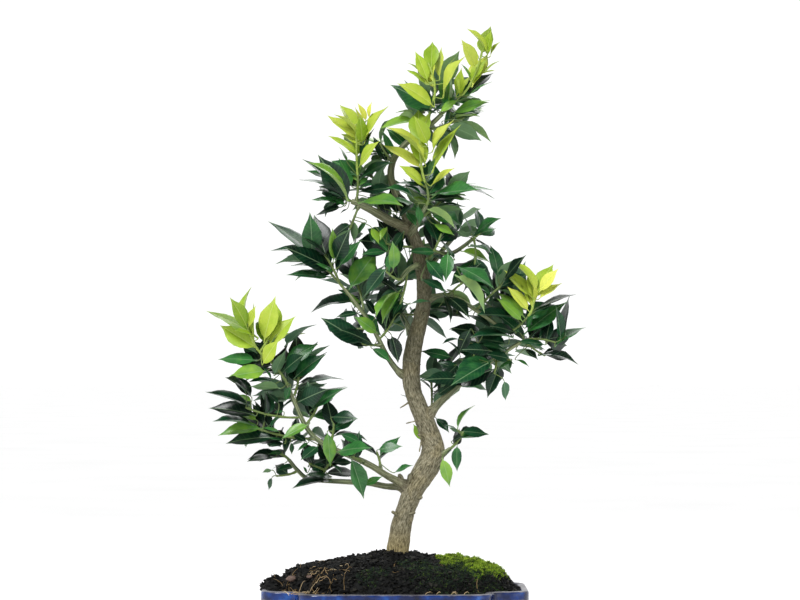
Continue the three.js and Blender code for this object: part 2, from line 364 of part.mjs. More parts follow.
// Leaves that show from the front, each as [x, z] where the blade starts, [x, z] at its tip, and how far its
// upper side faces forward: 1 in full, 0 edge-on, -1 its underside. The points lie on the upright plane
// through the pot's middle, as an eye at EYE sees them. Shorter leaves than the ones listed are left out.
const SEEN_LEAVES = {
  young_top: [[92, 606, 97, 637, .8], [95, 606, 106, 623, .4], [93, 612, 72, 639, .55],
    [81, 594, 67, 628, .9], [76, 577, 93, 605, .6], [90, 590, 106, 606, .1], [84, 588, 100, 590, .15],
    [65, 566, 67, 597, .85], [61, 566, 60, 592, .5], [66, 566, 76, 585, .5]],
  young_top_left: [[48, 566, 72, 614, .45], [50, 582, 60, 606, .2], [45, 585, 47, 616, .5],
    [38, 582, 38, 607, .7], [33, 582, 20, 613, .9], [31, 581, 13, 600, .4], [31, 580, 11, 593, .5],
    [39, 557, 2, 585, .7]],
  young_crown: [[33, 520, 19, 554, .9], [37, 513, 60, 546, .4], [31, 504, -10, 540, .45],
    [31, 499, 15, 531, .95], [28, 496, -13, 519, .5], [30, 477, 3, 501, .6], [37, 492, 66, 540, .4],
    [36, 479, 61, 500, .5]],
  young_crown_left: [[-33, 520, -36, 553, .95], [-35, 522, -40, 556, .5], [-29, 543, -38, 562, .7],
    [-26, 546, -23, 565, .6], [-31, 520, -6, 563, .35], [-36, 528, -62, 551, .25],
    [-36, 524, -68, 548, .6], [-37, 510, -68, 531, .6], [-34, 520, -55, 530, .7], [-36, 497, -16, 528, .7]],
  young_right: [[143, 372, 118, 403, .6], [144, 371, 164, 396, .85], [143, 364, 168, 381, .6],
    [140, 362, 139, 381, .7], [137, 366, 109, 393, .65], [134, 352, 112, 377, .7]],
  young_lower_left: [[-148, 336, -167, 369, .9], [-149, 338, -143, 377, .3], [-147, 336, -140, 360, .75],
    [-137, 326, -188, 350, .5], [-141, 326, -163, 336, .45], [-133, 299, -117, 327, .9]],
  young_lower_left_b: [[-131, 321, -119, 368, .9], [-129, 320, -120, 337, .5], [-127, 316, -99, 348, .85]],
  top_main: [[74, 571, 99, 586, .3], [76, 583, 66, 600, .5], [43, 552, -5, 576, .95],
    [42, 551, 66, 566, .4], [60, 551, 96, 563, .45]],
  top_left: [[41, 550, 23, 556, .5]],
  top_right: [[55, 545, 90, 550, .3], [57, 542, 86, 546, .2], [47, 540, 70, 541, .15],
    [52, 535, 86, 518, -.8]],
  top_back: [[20, 541, -16, 532, .7], [20, 547, 0, 548, .1]],
  top_inner: [[14, 511, -9, 530, .8], [-2, 503, -13, 530, .7], [-8, 498, -22, 524, .8]],
  crown_front: [[34, 491, 44, 514, .4], [36, 477, 56, 489, .3], [37, 470, 86, 480, .5],
    [37, 467, 69, 479, .4], [36, 464, 70, 468, .5], [31, 456, 61, 437, -.4], [28, 479, 0, 481, .5],
    [20, 465, -9, 480, .45], [27, 470, 5, 478, .4], [20, 462, 3, 447, .6], [23, 461, 24, 440, .6]],
  crown_side: [[39, 452, 69, 454, -.4], [37, 457, 17, 465, .6], [39, 455, 66, 433, .75],
    [37, 440, 60, 428, .6], [36, 448, 58, 440, .6], [10, 453, 22, 438, .7], [25, 450, -5, 466, .4]],
  crown_left_top: [[-35, 500, -20, 538, .5], [-48, 502, -57, 518, .4], [-43, 477, -57, 507, .7],
    [-38, 477, -25, 488, .6], [-38, 474, -20, 481, .3], [-36, 484, 0, 502, .4], [-37, 472, 2, 477, .5],
    [-37, 462, 9, 462, .45], [-29, 467, -18, 457, .6]],
  crown_left_side: [[-45, 463, -78, 512, 1], [-48, 465, -93, 504, .5], [-47, 464, -89, 510, .25],
    [-50, 474, -89, 491, .4], [-49, 463, -80, 476, .1], [-50, 460, -84, 462, .35],
    [-51, 458, -64, 467, .6], [-53, 457, -80, 447, .6], [-48, 455, -55, 450, .6], [-47, 467, -64, 478, .6]],
  crown_left_low: [[-24, 437, -16, 420, .7], [-42, 444, -41, 420, -.8], [-28, 442, -38, 427, .6]],
  upper_left_tip: [[-83, 404, -86, 454, .95], [-70, 396, -127, 439, .35], [-64, 386, -110, 390, .55],
    [-66, 395, -89, 418, .6], [-46, 373, -17, 410, .9], [-48, 368, -57, 373, .5]],
  upper_left_b: [[-66, 404, -94, 429, .2], [-62, 393, -112, 418, .8], [-62, 402, -63, 436, .7],
    [-60, 402, -46, 438, .95], [-56, 397, -33, 425, .8], [-61, 392, -80, 402, .6]],
  upper_left_back: [[-34, 352, -49, 372, .7], [-40, 361, -83, 347, .45], [-36, 350, -59, 346, .6],
    [-38, 350, -13, 326, .9]],
  left_mid_low: [[-19, 350, -32, 368, .8]],
  left_mid_front: [[-24, 316, -4, 301, .7]],
  left_mid_right: [[5, 352, 10, 337, .4], [10, 336, 1, 322, .3], [-4, 330, 3, 300, .9]],
  centre_front_left: [[-8, 402, -31, 371, .9], [-2, 398, -3, 430, .8]],
  centre_front_low: [[3, 374, -17, 388, .7], [1, 375, -19, 351, .4], [6, 377, -13, 343, .6],
    [15, 363, 37, 366, .4], [8, 374, -10, 334, .35], [9, 368, -2, 351, .7]],
  centre_left: [[-8, 437, -15, 424, .8], [9, 433, -6, 411, .6], [-20, 437, -27, 425, .1],
    [-6, 411, -20, 424, .7], [-8, 412, -34, 411, .6], [5, 412, 6, 427, .5]],
  centre_right: [[42, 411, 12, 413, .7], [30, 405, 11, 384, .8], [31, 405, 48, 384, .8],
    [53, 412, 51, 383, 1], [26, 384, 53, 372, .6], [60, 403, 42, 424, .4]],
  back_left_a: [[-14, 366, -31, 373, .7]],
  back_left_low: [[26, 349, 62, 346, .5], [30, 346, 45, 337, .5], [10, 338, -5, 330, .25],
    [22, 350, 13, 343, .7]],
  back_right_b: [[31, 434, 38, 404, .9]],
  right_up_tip: [[78, 424, 107, 447, .45], [76, 425, 101, 432, .55], [75, 424, 59, 431, -.6],
    [76, 428, 68, 446, .2], [65, 411, 95, 398, .6], [73, 417, 98, 412, .25]],
  right_up_low: [[78, 422, 88, 418, .3]],
  right_mid_tip: [[130, 345, 101, 370, .6], [128, 342, 101, 366, .7], [141, 355, 183, 371, .4],
    [139, 351, 161, 360, .6], [130, 335, 140, 350, .5], [119, 347, 81, 351, .7], [121, 330, 95, 339, .7],
    [118, 326, 75, 328, .4], [113, 319, 65, 323, .6]],
  right_mid_up: [[103, 384, 95, 417, .8], [101, 372, 120, 404, -.85], [108, 381, 133, 411, .5],
    [97, 356, 99, 371, .7], [70, 350, 96, 338, .4]],
  right_mid_inner: [[52, 374, 78, 353, -.75], [60, 390, 91, 354, -.4], [66, 388, 92, 357, .8],
    [80, 380, 97, 369, .5], [48, 371, 56, 342, .5], [50, 368, 76, 347, .8], [62, 350, 35, 355, .4],
    [62, 398, 101, 378, .7]],
  right_mid_back: [[95, 345, 74, 353, .4]],
  right_low_tip: [[128, 328, 172, 361, .6], [150, 319, 156, 346, .9], [165, 324, 161, 358, .8],
    [170, 327, 173, 367, .4], [159, 316, 190, 334, .35], [120, 319, 150, 312, -.5],
    [150, 318, 122, 322, .6], [125, 329, 103, 347, .9], [120, 313, 139, 302, -.7]],
  right_low_out: [[119, 303, 134, 295, .25], [128, 314, 143, 303, .6], [142, 307, 184, 299, .45]],
  right_low_drop: [[113, 311, 86, 319, .35], [115, 304, 91, 310, .9], [110, 310, 61, 309, .9],
    [98, 303, 58, 289, .8], [104, 297, 92, 265, .95], [109, 284, 111, 264, -.8], [117, 303, 103, 295, .5],
    [117, 304, 114, 293, .6]],
  right_low_mid: [[65, 325, 47, 321, .4], [76, 336, 63, 308, .9], [64, 304, 96, 300, .8],
    [70, 284, 27, 284, .7]],
  right_low_in: [[65, 305, 50, 321, .15], [57, 304, 25, 311, .8], [68, 284, 92, 271, .7],
    [66, 290, 42, 300, .8]],
  low_shoot: [[62, 234, 50, 239, .4], [64, 231, 53, 236, -.6], [62, 234, 80, 258, .35],
    [65, 232, 94, 229, .6], [56, 222, 69, 228, .6], [62, 219, 62, 192, .9], [47, 207, 55, 177, .95]],
  lower_left_tip: [[-134, 317, -161, 319, .5], [-136, 309, -162, 318, -.4], [-138, 303, -177, 304, .7],
    [-128, 293, -167, 288, .95], [-121, 288, -110, 314, -.85], [-112, 300, -76, 320, .8],
    [-112, 291, -90, 311, .8], [-114, 275, -147, 278, -.7], [-120, 280, -147, 282, .3],
    [-123, 284, -133, 297, .5], [-104, 278, -109, 262, .9]],
  lower_left_up: [[-101, 284, -68, 309, .8], [-110, 316, -78, 340, -.4], [-92, 287, -80, 298, -.6],
    [-99, 276, -50, 283, .25], [-98, 270, -89, 278, .4], [-97, 261, -67, 276, .95]],
  lower_left_out: [[-149, 271, -172, 288, .4], [-143, 266, -163, 289, .85], [-144, 258, -192, 273, .5],
    [-144, 262, -156, 269, .6], [-139, 248, -186, 255, .7], [-130, 247, -130, 273, .6],
    [-127, 248, -127, 272, .8], [-116, 260, -128, 271, .7], [-111, 252, -121, 251, .6],
    [-117, 248, -125, 236, .7]],
  lower_left_in: [[-85, 252, -47, 277, .5], [-84, 247, -44, 242, .6], [-86, 240, -114, 225, .8],
    [-83, 246, -97, 251, -.5], [-85, 232, -66, 222, .7]],
  lower_left_low: [[-137, 243, -157, 250, .7], [-140, 238, -184, 244, .3], [-131, 235, -177, 228, .6],
    [-119, 226, -168, 219, .7], [-115, 232, -133, 236, .5], [-131, 240, -140, 263, .4],
    [-130, 241, -134, 271, .5], [-101, 229, -88, 222, .9], [-104, 222, -103, 209, .6],
    [-110, 220, -127, 217, .5], [-110, 222, -127, 225, .4], [-76, 218, -95, 204, .9],
    [-86, 222, -98, 213, .6]],
  lower_left_mid: [[-64, 247, -37, 246, .8], [-65, 233, -38, 245, .6], [-58, 212, -23, 218, .8],
    [-68, 233, -65, 197, .9]],
  lower_left_hang: [[-35, 222, -56, 231, .8], [-45, 208, -31, 165, .75], [-32, 178, -12, 188, .8]],
  lower_left_single: [[-18, 214, 8, 218, .9]],
  base_left_tip: [[-111, 211, -125, 209, .8], [-118, 206, -148, 202, .45], [-108, 200, -121, 194, .2]],
  base_left_low: [[-98, 197, -117, 192, .8], [-121, 193, -131, 190, -.8], [-121, 186, -125, 173, -.8]],
  base_left_mid: [[-62, 198, -51, 188, .5], [-63, 200, -40, 200, .6], [-83, 192, -67, 199, .8],
    [-62, 186, -90, 188, .6]],
  base_left_b: [[-86, 196, -66, 204, .4], [-87, 190, -91, 197, .7], [-62, 182, -103, 175, .45]],
  low_back: [[28, 221, 18, 238, .8], [40, 245, 54, 230, .8], [41, 270, 56, 282, .9]],
};
const EYE = { x: 5, z: 198, distance: 1300 };
const SPUR = { from: 2.35, length: 3, r: 2, tipR: 1.6 }; // only branches thicker than this bear spurs
const isYoung = (name) => name.startsWith('young');

// A small seeded generator, so that every build draws the same leaves
let seed = 20531;
function draw(low, high) {
  seed = (seed * 16807) % 2147483647;
  return low + ((high - low) * seed) / 2147483647;
}

const shootsByName = new Map();

function layOutShoot([name, parentName, share, tip, leaves, leafLength]) {
  const end = new THREE.Vector3(...tip);
  const parent = shootsByName.get(parentName);
  const wood = BRANCHES[parentName];
  const parentCurve = parent ? parent.curve : curveThrough(wood);
  const root = parentCurve.getPoint(share);
  const parentAlong = parentCurve.getTangent(share);
  const reach = end.clone().sub(root);
  const forward = reach.dot(parentAlong);
  const sideways = reach.clone().addScaledVector(parentAlong, -forward);
  const bend = share === 1
    ? root.clone().addScaledVector(parentAlong, reach.length() * 0.4)
    : root.clone().addScaledVector(sideways, 0.55).addScaledVector(parentAlong, forward * 0.3);
  const curve = new THREE.QuadraticBezierCurve3(root, bend, end);
  const isFork = Boolean(parent) && isYoung(name) === isYoung(parentName);
  const woodR = wood ? radiusAlong(wood, share) : 0;
  const leaving = bend.clone().sub(root).normalize();
  const slant = leaving.clone().cross(parentAlong).length();
  const pace = 2 * root.distanceTo(bend);
  const besideWood = wood && share < 1;
  const spurEnd = besideWood && woodR > SPUR.from ? (woodR / slant + SPUR.length) / pace : 0;
  const clearOfWood = (woodR + GAP + STEM.r * Math.abs(leaving.dot(parentAlong))) / slant / pace;
  const shoot = {
    name, curve, leaves, leafLength, isFork, spurEnd,
    young: isYoung(name), node: isFork ? parent.node : name, placed: [],
    facing: besideWood ? sideways.clone().negate().normalize() : REFERENCE,
  };
  if (isFork) shoot.start = 0;
  else if (besideWood && !spurEnd) shoot.start = clearOfWood;
  else shoot.start = spurEnd + GAP / pace;
  shootsByName.set(name, shoot);
  return shoot;
}

const bySupport = [...SHOOTS].sort((a, b) => isYoung(a[0]) - isYoung(b[0]));
bySupport.forEach(layOutShoot);
const shoots = SHOOTS.map(([name]) => shootsByName.get(name));

const partOf = (curve, from, to) => ({
  getPoint: (t) => curve.getPoint(from + (to - from) * t),
  getTangent: (t) => curve.getTangent(from + (to - from) * t),
});

function stemSkin(shoot, extra = 0) {
  const r = (t) => STEM.r + (STEM.tipR - STEM.r) * t + extra;
  return skin(ringsAlong(partOf(shoot.curve, shoot.start, 1), r, STEM.steps, STEM.sides, 0, shoot.facing));
}

function spurSkin(shoot, extra = 0) {
  const line = new THREE.LineCurve3(shoot.curve.getPoint(0), shoot.curve.getPoint(shoot.spurEnd));
  return skin(ringsAlong(line, (t) => SPUR.r + (SPUR.tipR - SPUR.r) * t + extra, 1, 3));
}

// Leaves
// A blade is a thin lens folded along its rib. Each station is a ring of left edge, rib underside, right edge
// and rib top. The blade starts as an upright line inside its stem and ends in a point. Where it starts away
// from the stem, a narrow stalk leads to it.
const STATIONS = [[0.42, 1], [0.77, 0.56]];
const SMALL_LEAF = { below: 47, stations: [[0.48, 1]] };
const STALK = { from: 7, halfWidth: 0.75, inside: 0.8, end: 0.06 };

function leafSkin({ joint, root, direction, normal, length, width, curl, fold }, extra = 0) {
  const side = normal.clone().cross(direction);
  const thick = LEAF.thick / 2 + extra;
  const at = (s) => {
    const angle = curl * s;
    const along = (length * Math.sin(angle)) / curl;
    const down = (length * (1 - Math.cos(angle))) / curl;
    return {
      centre: root.clone().addScaledVector(direction, along).addScaledVector(normal, -down),
      up: direction.clone().multiplyScalar(Math.sin(angle)).addScaledVector(normal, Math.cos(angle)),
    };
  };
  const stations = length < SMALL_LEAF.below ? SMALL_LEAF.stations : STATIONS;
  const rings = stations.map(([s, share]) => {
    const { centre, up } = at(s);
    const half = (width / 2) * share + extra;
    const edge = (sign) => centre.clone()
      .addScaledVector(side, sign * half * Math.cos(fold))
      .addScaledVector(up, half * Math.sin(fold));
    const rib = (sign) => centre.clone().addScaledVector(up, sign * thick);
    return [edge(-1), rib(-1), edge(1), rib(1)];
  });
  const start = [-1, 1].map((sign) => joint.clone().addScaledVector(normal, sign * (thick - 0.1)));
  if (joint.distanceTo(root) > STALK.from) {
    const half = STALK.halfWidth + extra;
    const bar = (centre) => [side.clone().multiplyScalar(-half), normal.clone().multiplyScalar(-thick),
      side.clone().multiplyScalar(half), normal.clone().multiplyScalar(thick)].map((v) => v.add(centre));
    const leading = root.clone().sub(joint).normalize();
    rings.unshift(bar(joint.clone().addScaledVector(leading, STALK.inside)), bar(at(STALK.end).centre));
  }
  return bladeSkin(start, rings, at(1 + extra / length).centre);
}

// Both faces of a blade are split into triangles alike, so that they can't cross.
function bladeSkin(start, rings, tip) {
  const points = [...start, ...rings.flat(), tip];
  const [under, over] = [0, 1];
  const [left, ribUnder, right, ribOver] = [2, 3, 4, 5];
  const faces = [
    over, under, left, under, ribUnder, left, over, left, ribOver,
    under, over, right, under, right, ribUnder, over, ribOver, right,
  ];
  for (let i = 0; i + 1 < rings.length; i++) {
    for (let j = 0; j < 4; j++) {
      const a = 2 + i * 4 + j;
      const b = 2 + i * 4 + ((j + 1) % 4);
      faces.push(...(j % 2 ? [a, b, a + 4, b, b + 4, a + 4] : [a, b, b + 4, a, b + 4, a + 4]));
    }
  }
  const last = points.length - 5;
  for (let j = 0; j < 4; j++) faces.push(last + j, last + ((j + 1) % 4), points.length - 1);
  return { points, faces };
}

// Two skins cross if an edge of one passes through a face of the other.
function prepare(made) {
  made.box = new THREE.Box3().setFromPoints(made.points);
  const seen = new Set();
  made.edges = [];
  for (let i = 0; i < made.faces.length; i += 3) {
    for (const [a, b] of [[0, 1], [1, 2], [2, 0]]) {
      const [p, q] = [made.faces[i + a], made.faces[i + b]].sort((m, n) => m - n);
      if (!seen.has(p * 1000 + q)) made.edges.push([p, q]);
      seen.add(p * 1000 + q);
    }
  }
  return made;
}

function pierces(edgesOf, facesOf) {
  for (const [p, q] of edgesOf.edges) {
    const from = edgesOf.points[p];
    const ray = edgesOf.points[q].clone().sub(from);
    for (let i = 0; i < facesOf.faces.length; i += 3) {
      const corner = facesOf.points[facesOf.faces[i]];
      const e1 = facesOf.points[facesOf.faces[i + 1]].clone().sub(corner);
      const e2 = facesOf.points[facesOf.faces[i + 2]].clone().sub(corner);
      const h = ray.clone().cross(e2);
      const det = e1.dot(h);
      if (Math.abs(det) < 1e-9) continue;
      const s = from.clone().sub(corner);
      const u = s.dot(h) / det;
      if (u < 0 || u > 1) continue;
      const k = s.clone().cross(e1);
      const v = ray.dot(k) / det;
      const t = e2.dot(k) / det;
      if (v >= 0 && u + v <= 1 && t >= 0 && t <= 1) return true;
    }
  }
  return false;
}

const crosses = (a, b) => a.box.intersectsBox(b.box) && (pierces(a, b) || pierces(b, a));

// What a leaf has to miss: the wood, the other shoots' stems, and every leaf placed before it
const obstacles = [];
for (const [name, points] of Object.entries(BRANCHES)) {
  const wider = points.map(([x, y, z, r]) => [x, y, z, r + 0.6]);
  obstacles.push({ node: 'wood', whole: prepare(branchSkin(wider, name === 'trunk')) });
}
for (const shoot of shoots) {
  obstacles.push({ node: shoot.node, whole: prepare(stemSkin(shoot, 0.4)) });
  if (shoot.spurEnd) obstacles.push({ node: 'wood', whole: prepare(spurSkin(shoot, 0.5)) });
}

// Keeps a leaf if it misses everything that stands already. Leaves of one node may join near their starts.
const FREE_FROM = 0.25;
function place(shoot, leaf) {
  const whole = prepare(leafSkin(leaf, 0.35));
  const free = prepare(leafSkin({ ...leaf, joint: leaf.root.clone().addScaledVector(leaf.direction,
    leaf.length * FREE_FROM) }, 0.35));
  const meets = (o) => (o.node === shoot.node ? o.free && crosses(free, o.free) : crosses(whole, o.whole));
  if (obstacles.some(meets)) return false;
  shoot.placed.push(leaf);
  obstacles.push({ node: shoot.node, whole, free });
  return true;
}

const seenAt = (x, z, y) => {
  const widening = 1 + y / EYE.distance;
  return new THREE.Vector3(EYE.x + (x - EYE.x) * widening, y, EYE.z + (z - EYE.z) * widening);
};

// How far along a shoot its stem comes nearest to a leaf's start
function nearestShare(shoot, x, z) {
  const shares = Array.from({ length: 31 }, (_, i) => 0.08 + (0.92 * i) / 30)
    .map((share) => shoot.start + (0.985 - shoot.start) * share);
  const gap = (t) => {
    const at = shoot.curve.getPoint(t);
    return at.distanceTo(seenAt(x, z, at.y));
  };
  return shares.reduce((best, t) => (gap(t) < gap(best) ? t : best));
}

// A seen leaf's depth isn't known, so its start moves and its tip leans until the leaf hangs free.
const LEANS = [1, -1, 0.4, 1.8, -1.8];
const SHIFTS = [0, -4, 4, -9, 9, -14, 14, -20];

function placeSeenLeaves(shoot) {
  for (const [x0, z0, x1, z1, facing] of SEEN_LEAVES[shoot.name] ?? []) {
    const reach = Math.hypot(x1 - x0, z1 - z0);
    if (reach < LEAF.shortest) continue;
    const joint = shoot.curve.getPoint(nearestShare(shoot, x0, z0));
    const broad = Math.abs(facing) > 0.45;
    const curl = broad ? draw(0.1, 0.45) : draw(0.3, 0.8);
    const fold = THREE.MathUtils.degToRad(draw(6, 22));
    const lean = draw(-0.55, 0.3) * (1 + 12 / reach);
    for (let k = 0; k < LEANS.length * SHIFTS.length; k++) {
      const root = seenAt(x0, z0, joint.y + SHIFTS[Math.floor(k / LEANS.length)]);
      const tip = seenAt(x1, z1, root.y + lean * LEANS[k % LEANS.length] * reach);
      if (place(shoot, leafBetween(joint, root, tip, facing, curl, fold))) break;
    }
  }
}

function leafBetween(joint, root, tip, facing, curl, fold) {
  const span = root.distanceTo(tip);
  const chord = tip.clone().sub(root).divideScalar(span);
  const forward = new THREE.Vector3(0, -1, 0);
  const upward = forward.clone().cross(chord).normalize();
  if (upward.z < 0) upward.negate();
  const up = forward.clone().multiplyScalar(facing).addScaledVector(upward, Math.sqrt(1 - facing ** 2));
  up.addScaledVector(chord, -up.dot(chord)).normalize();
  const direction = chord.clone().multiplyScalar(Math.cos(curl / 2)).addScaledVector(up, Math.sin(curl / 2));
  const normal = up.clone().multiplyScalar(Math.cos(curl / 2)).addScaledVector(chord, -Math.sin(curl / 2));
  const length = (span * curl) / 2 / Math.sin(curl / 2);
  return { joint, root, direction, normal, length, width: length * LEAF.widthShare, curl, fold };
}

const LEAF_STYLE = {
  young: { from: 0.1, baseTilt: 56, tipTilt: 16, curl: [0.05, 0.4], fold: [8, 26], sun: 0.2 },
  mature: { from: 0.16, baseTilt: 64, tipTilt: 30, curl: [0.1, 0.55], fold: [6, 22], sun: 0.45 },
};
const TRIES = 20;
const CROWN_AXIS_X = 20; // leaves turn their upper faces up and away from this line
const UP = new THREE.Vector3(0, 0, 1);

// The leaves on a shoot's far side, which point away from the eye
function placeFarLeaves(shoot) {
  const style = shoot.young ? LEAF_STYLE.young : LEAF_STYLE.mature;
  const phase = draw(0, 2 * Math.PI);
  for (let i = shoot.leaves - 1; i >= 0; i--) {
    const share = (i + 0.6) / shoot.leaves;
    const t = Math.min(shoot.start + (1 - shoot.start) * (style.from + (1 - style.from) * share), 0.985);
    const joint = shoot.curve.getPoint(t);
    const along = shoot.curve.getTangent(t);
    const e1 = REFERENCE.clone().cross(along).normalize();
    const e2 = along.clone().cross(e1);
    const tilt = style.baseTilt + (style.tipTilt - style.baseTilt) * share + draw(-9, 9);
    const length = shoot.leafLength * draw(0.8, 1.08);
    const turn = phase + i * GOLDEN_ANGLE;
    const curl = draw(...style.curl);
    const fold = THREE.MathUtils.degToRad(draw(...style.fold));
    const roll = draw(-0.45, 0.45);
    for (let k = 0; k < TRIES; k++) {
      const azimuth = turn + (k % 2 ? 1 : -1) * Math.ceil(k / 2) * 0.31;
      const polar = THREE.MathUtils.degToRad(tilt + (k > 12 ? 12 : 0));
      const direction = along.clone().multiplyScalar(Math.cos(polar))
        .addScaledVector(e1, Math.sin(polar) * Math.cos(azimuth))
        .addScaledVector(e2, Math.sin(polar) * Math.sin(azimuth));
      if (direction.y < 0.25) continue;
      const light = new THREE.Vector3(joint.x - CROWN_AXIS_X, joint.y, 0).setLength(0.6).add(UP);
      const normal = along.clone().multiplyScalar(1 - style.sun).addScaledVector(light, style.sun);
      normal.addScaledVector(direction, -normal.dot(direction)).normalize();
      const across = direction.clone().cross(normal);
      normal.multiplyScalar(Math.cos(roll)).addScaledVector(across, Math.sin(roll));
      const width = length * LEAF.widthShare;
      if (place(shoot, { joint, root: joint, direction, normal, length, width, curl, fold })) break;
    }
  }
}

// Assembly
const part = new THREE.Group();
const trunkSolid = () => {
  const limbs = Object.entries(BRANCHES).map(([name, points]) => solidOf(branchSkin(points, name === 'trunk')));
  const stubs = STUBS.map(([from, to, r]) => solidOf(skin(ringsAlong(straight(from, to), () => r, 1, 5))));
  const spurs = shoots.filter((s) => s.spurEnd).map((s) => solidOf(spurSkin(s)));
  return unite([...limbs, ...stubs, ...spurs]);
};

const screens = [['screen_left', -DRAIN.x], ['screen_right', DRAIN.x]].map(([name, x]) => makeScreen(name, x));
const screenPockets = unite([-1, 1].map((side) => boxAt(side * DRAIN.x, 0, FLOOR_TOP + SCREEN.thick / 2 + GAP,
  SCREEN.size + 2 * GAP, SCREEN.size + 2 * GAP, SCREEN.thick + 2 * GAP)));
const buried = BRANCHES.trunk.slice(0, 4).map(([x, y, z, r]) => [x, y, z, r * (1 + BARK_FLUTE_DEPTH) + GAP + 0.3]);
buried.unshift([buried[0][0] - 0.3, buried[0][1], buried[0][2] - GAP, buried[0][3]]);
const trunkHole = solidOf(skin(ringsAlong(curveThrough(buried), (t) => radiusAlong(buried, t), 8, 12)));
const soil = makeSoil(trunkHole, screenPockets);

part.add(makePot(), ...screens, meshOf(soil, 'soil', barkSoil), meshOf(makeMoss(soil), 'moss_cushion', mossGreen));
part.add(meshOf(trunkSolid(), 'trunk', bark));

shoots.forEach(placeSeenLeaves);
shoots.forEach(placeFarLeaves);
const leavesByNode = new Map();
for (const shoot of shoots) {
  const solids = leavesByNode.get(shoot.node) ?? [];
  solids.push(solidOf(stemSkin(shoot)), ...shoot.placed.map((leaf) => solidOf(leafSkin(leaf))));
  leavesByNode.set(shoot.node, solids);
}
for (const [name, solids] of leavesByNode) {
  part.add(meshOf(unite(solids), name, isYoung(name) ? youngLeaf : matureLeaf));
}

// The origin is on the table, under the middle of the whole plant's plan.
const plan = new THREE.Box3().setFromObject(part).getCenter(new THREE.Vector3());
part.position.set(-plan.x, -plan.y, 0);

export default part;
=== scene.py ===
"""A myrtle-leaf orange grown as a bonsai, in a lobed blue pot.

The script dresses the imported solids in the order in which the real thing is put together: pot, screens,
soil, moss, wood, shoots and leaves. Sizes in the tables are millimetres from the middle of the pot.
"""
import json
import math
import random

import bmesh
import bpy
import numpy as np
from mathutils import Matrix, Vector, kdtree, noise
from mathutils.bvhtree import BVHTree

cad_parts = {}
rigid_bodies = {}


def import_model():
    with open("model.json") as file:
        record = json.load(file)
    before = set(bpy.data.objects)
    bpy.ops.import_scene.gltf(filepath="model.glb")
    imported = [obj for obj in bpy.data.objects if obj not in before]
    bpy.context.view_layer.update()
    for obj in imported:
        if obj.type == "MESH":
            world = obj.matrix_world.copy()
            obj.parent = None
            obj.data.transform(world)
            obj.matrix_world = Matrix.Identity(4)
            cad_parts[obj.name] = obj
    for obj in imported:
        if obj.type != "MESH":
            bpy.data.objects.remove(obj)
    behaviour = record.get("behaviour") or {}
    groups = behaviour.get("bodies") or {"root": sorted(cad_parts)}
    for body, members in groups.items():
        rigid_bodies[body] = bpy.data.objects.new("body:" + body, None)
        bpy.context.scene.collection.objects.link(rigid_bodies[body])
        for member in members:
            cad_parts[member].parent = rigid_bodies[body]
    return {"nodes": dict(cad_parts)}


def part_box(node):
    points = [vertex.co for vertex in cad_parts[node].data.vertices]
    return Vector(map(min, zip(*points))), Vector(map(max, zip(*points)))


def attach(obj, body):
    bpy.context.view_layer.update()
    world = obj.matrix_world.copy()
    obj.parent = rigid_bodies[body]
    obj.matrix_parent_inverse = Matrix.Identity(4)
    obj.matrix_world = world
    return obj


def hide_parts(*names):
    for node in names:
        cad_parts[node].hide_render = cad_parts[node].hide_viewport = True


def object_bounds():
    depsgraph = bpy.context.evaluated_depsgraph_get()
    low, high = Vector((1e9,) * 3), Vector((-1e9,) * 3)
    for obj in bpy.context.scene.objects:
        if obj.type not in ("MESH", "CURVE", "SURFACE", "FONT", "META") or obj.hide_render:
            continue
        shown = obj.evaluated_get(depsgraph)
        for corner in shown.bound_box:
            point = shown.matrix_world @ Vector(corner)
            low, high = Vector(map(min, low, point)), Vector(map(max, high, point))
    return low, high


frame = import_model()
cad_bounds = [[float(v) for v in corner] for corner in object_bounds()]

# Camera and studio
# The camera stands 2.6 m in front of the pot, about halfway up the tree, and looks very slightly up. Of the
# views tried, this one covers the photo's outline best. A wide white floor runs into a bright band all round
# the horizon, and the light comes from one broad, high lamp at the left front, with two weak ones to fill.
MM = 0.001
pot_low, pot_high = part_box("pot")
POT_MIDDLE = np.array([(pot_low.x + pot_high.x) / 2, (pot_low.y + pot_high.y) / 2, 0])
CAMERA_AT = (5, -2600, 290)
CAMERA_TILT = 1.597  # degrees upwards
LENS, SENSOR = 117.6, 36  # focal length and sensor width in mm
SIGHT = 200  # m, how far the camera sees
BAND, DOME = 1.08, 0.16  # brightness of the horizon band and of the dome above it
BAND_TOP, DOME_FROM = 0.42, 0.62  # heights on the dome, as sines, between which the band fades
SUN = {"turn": (38, 0, -38), "softness": 24, "strength": 2.6}  # degrees, degrees, watts per square metre
LAMPS = {  # where from the pot in mm, size in mm, watts
    "fill_lamp": ((1300, -900, 700), 1200, 4),
    "back_lamp": ((300, 1500, 1500), 1200, 10),
}
LAMP_AIM = (0, 0, 330)  # the middle of the tree
FLOOR_RADIUS, FLOOR_CORNERS = 60, 96  # m; the disc is so wide that its edge is lost in the bright horizon


def linear(hexcode):
    """An sRGB hex colour as linear RGBA."""
    channels = [int(hexcode[i:i + 2], 16) / 255 for i in (1, 3, 5)]
    return [c / 12.92 if c <= 0.04045 else ((c + 0.055) / 1.055) ** 2.4 for c in channels] + [1]


def place(point):
    """A point in mm from the middle of the pot, in the frame's metres."""
    return Vector(np.array(point, float) * MM + POT_MIDDLE)


def all_round(count):
    """Evenly spaced angles all the way round."""
    return np.linspace(0, 2 * math.pi, count, endpoint=False)


def put(name, data):
    """A new object in the scene, with this data."""
    made = bpy.data.objects.new(name, data)
    bpy.context.scene.collection.objects.link(made)
    return made


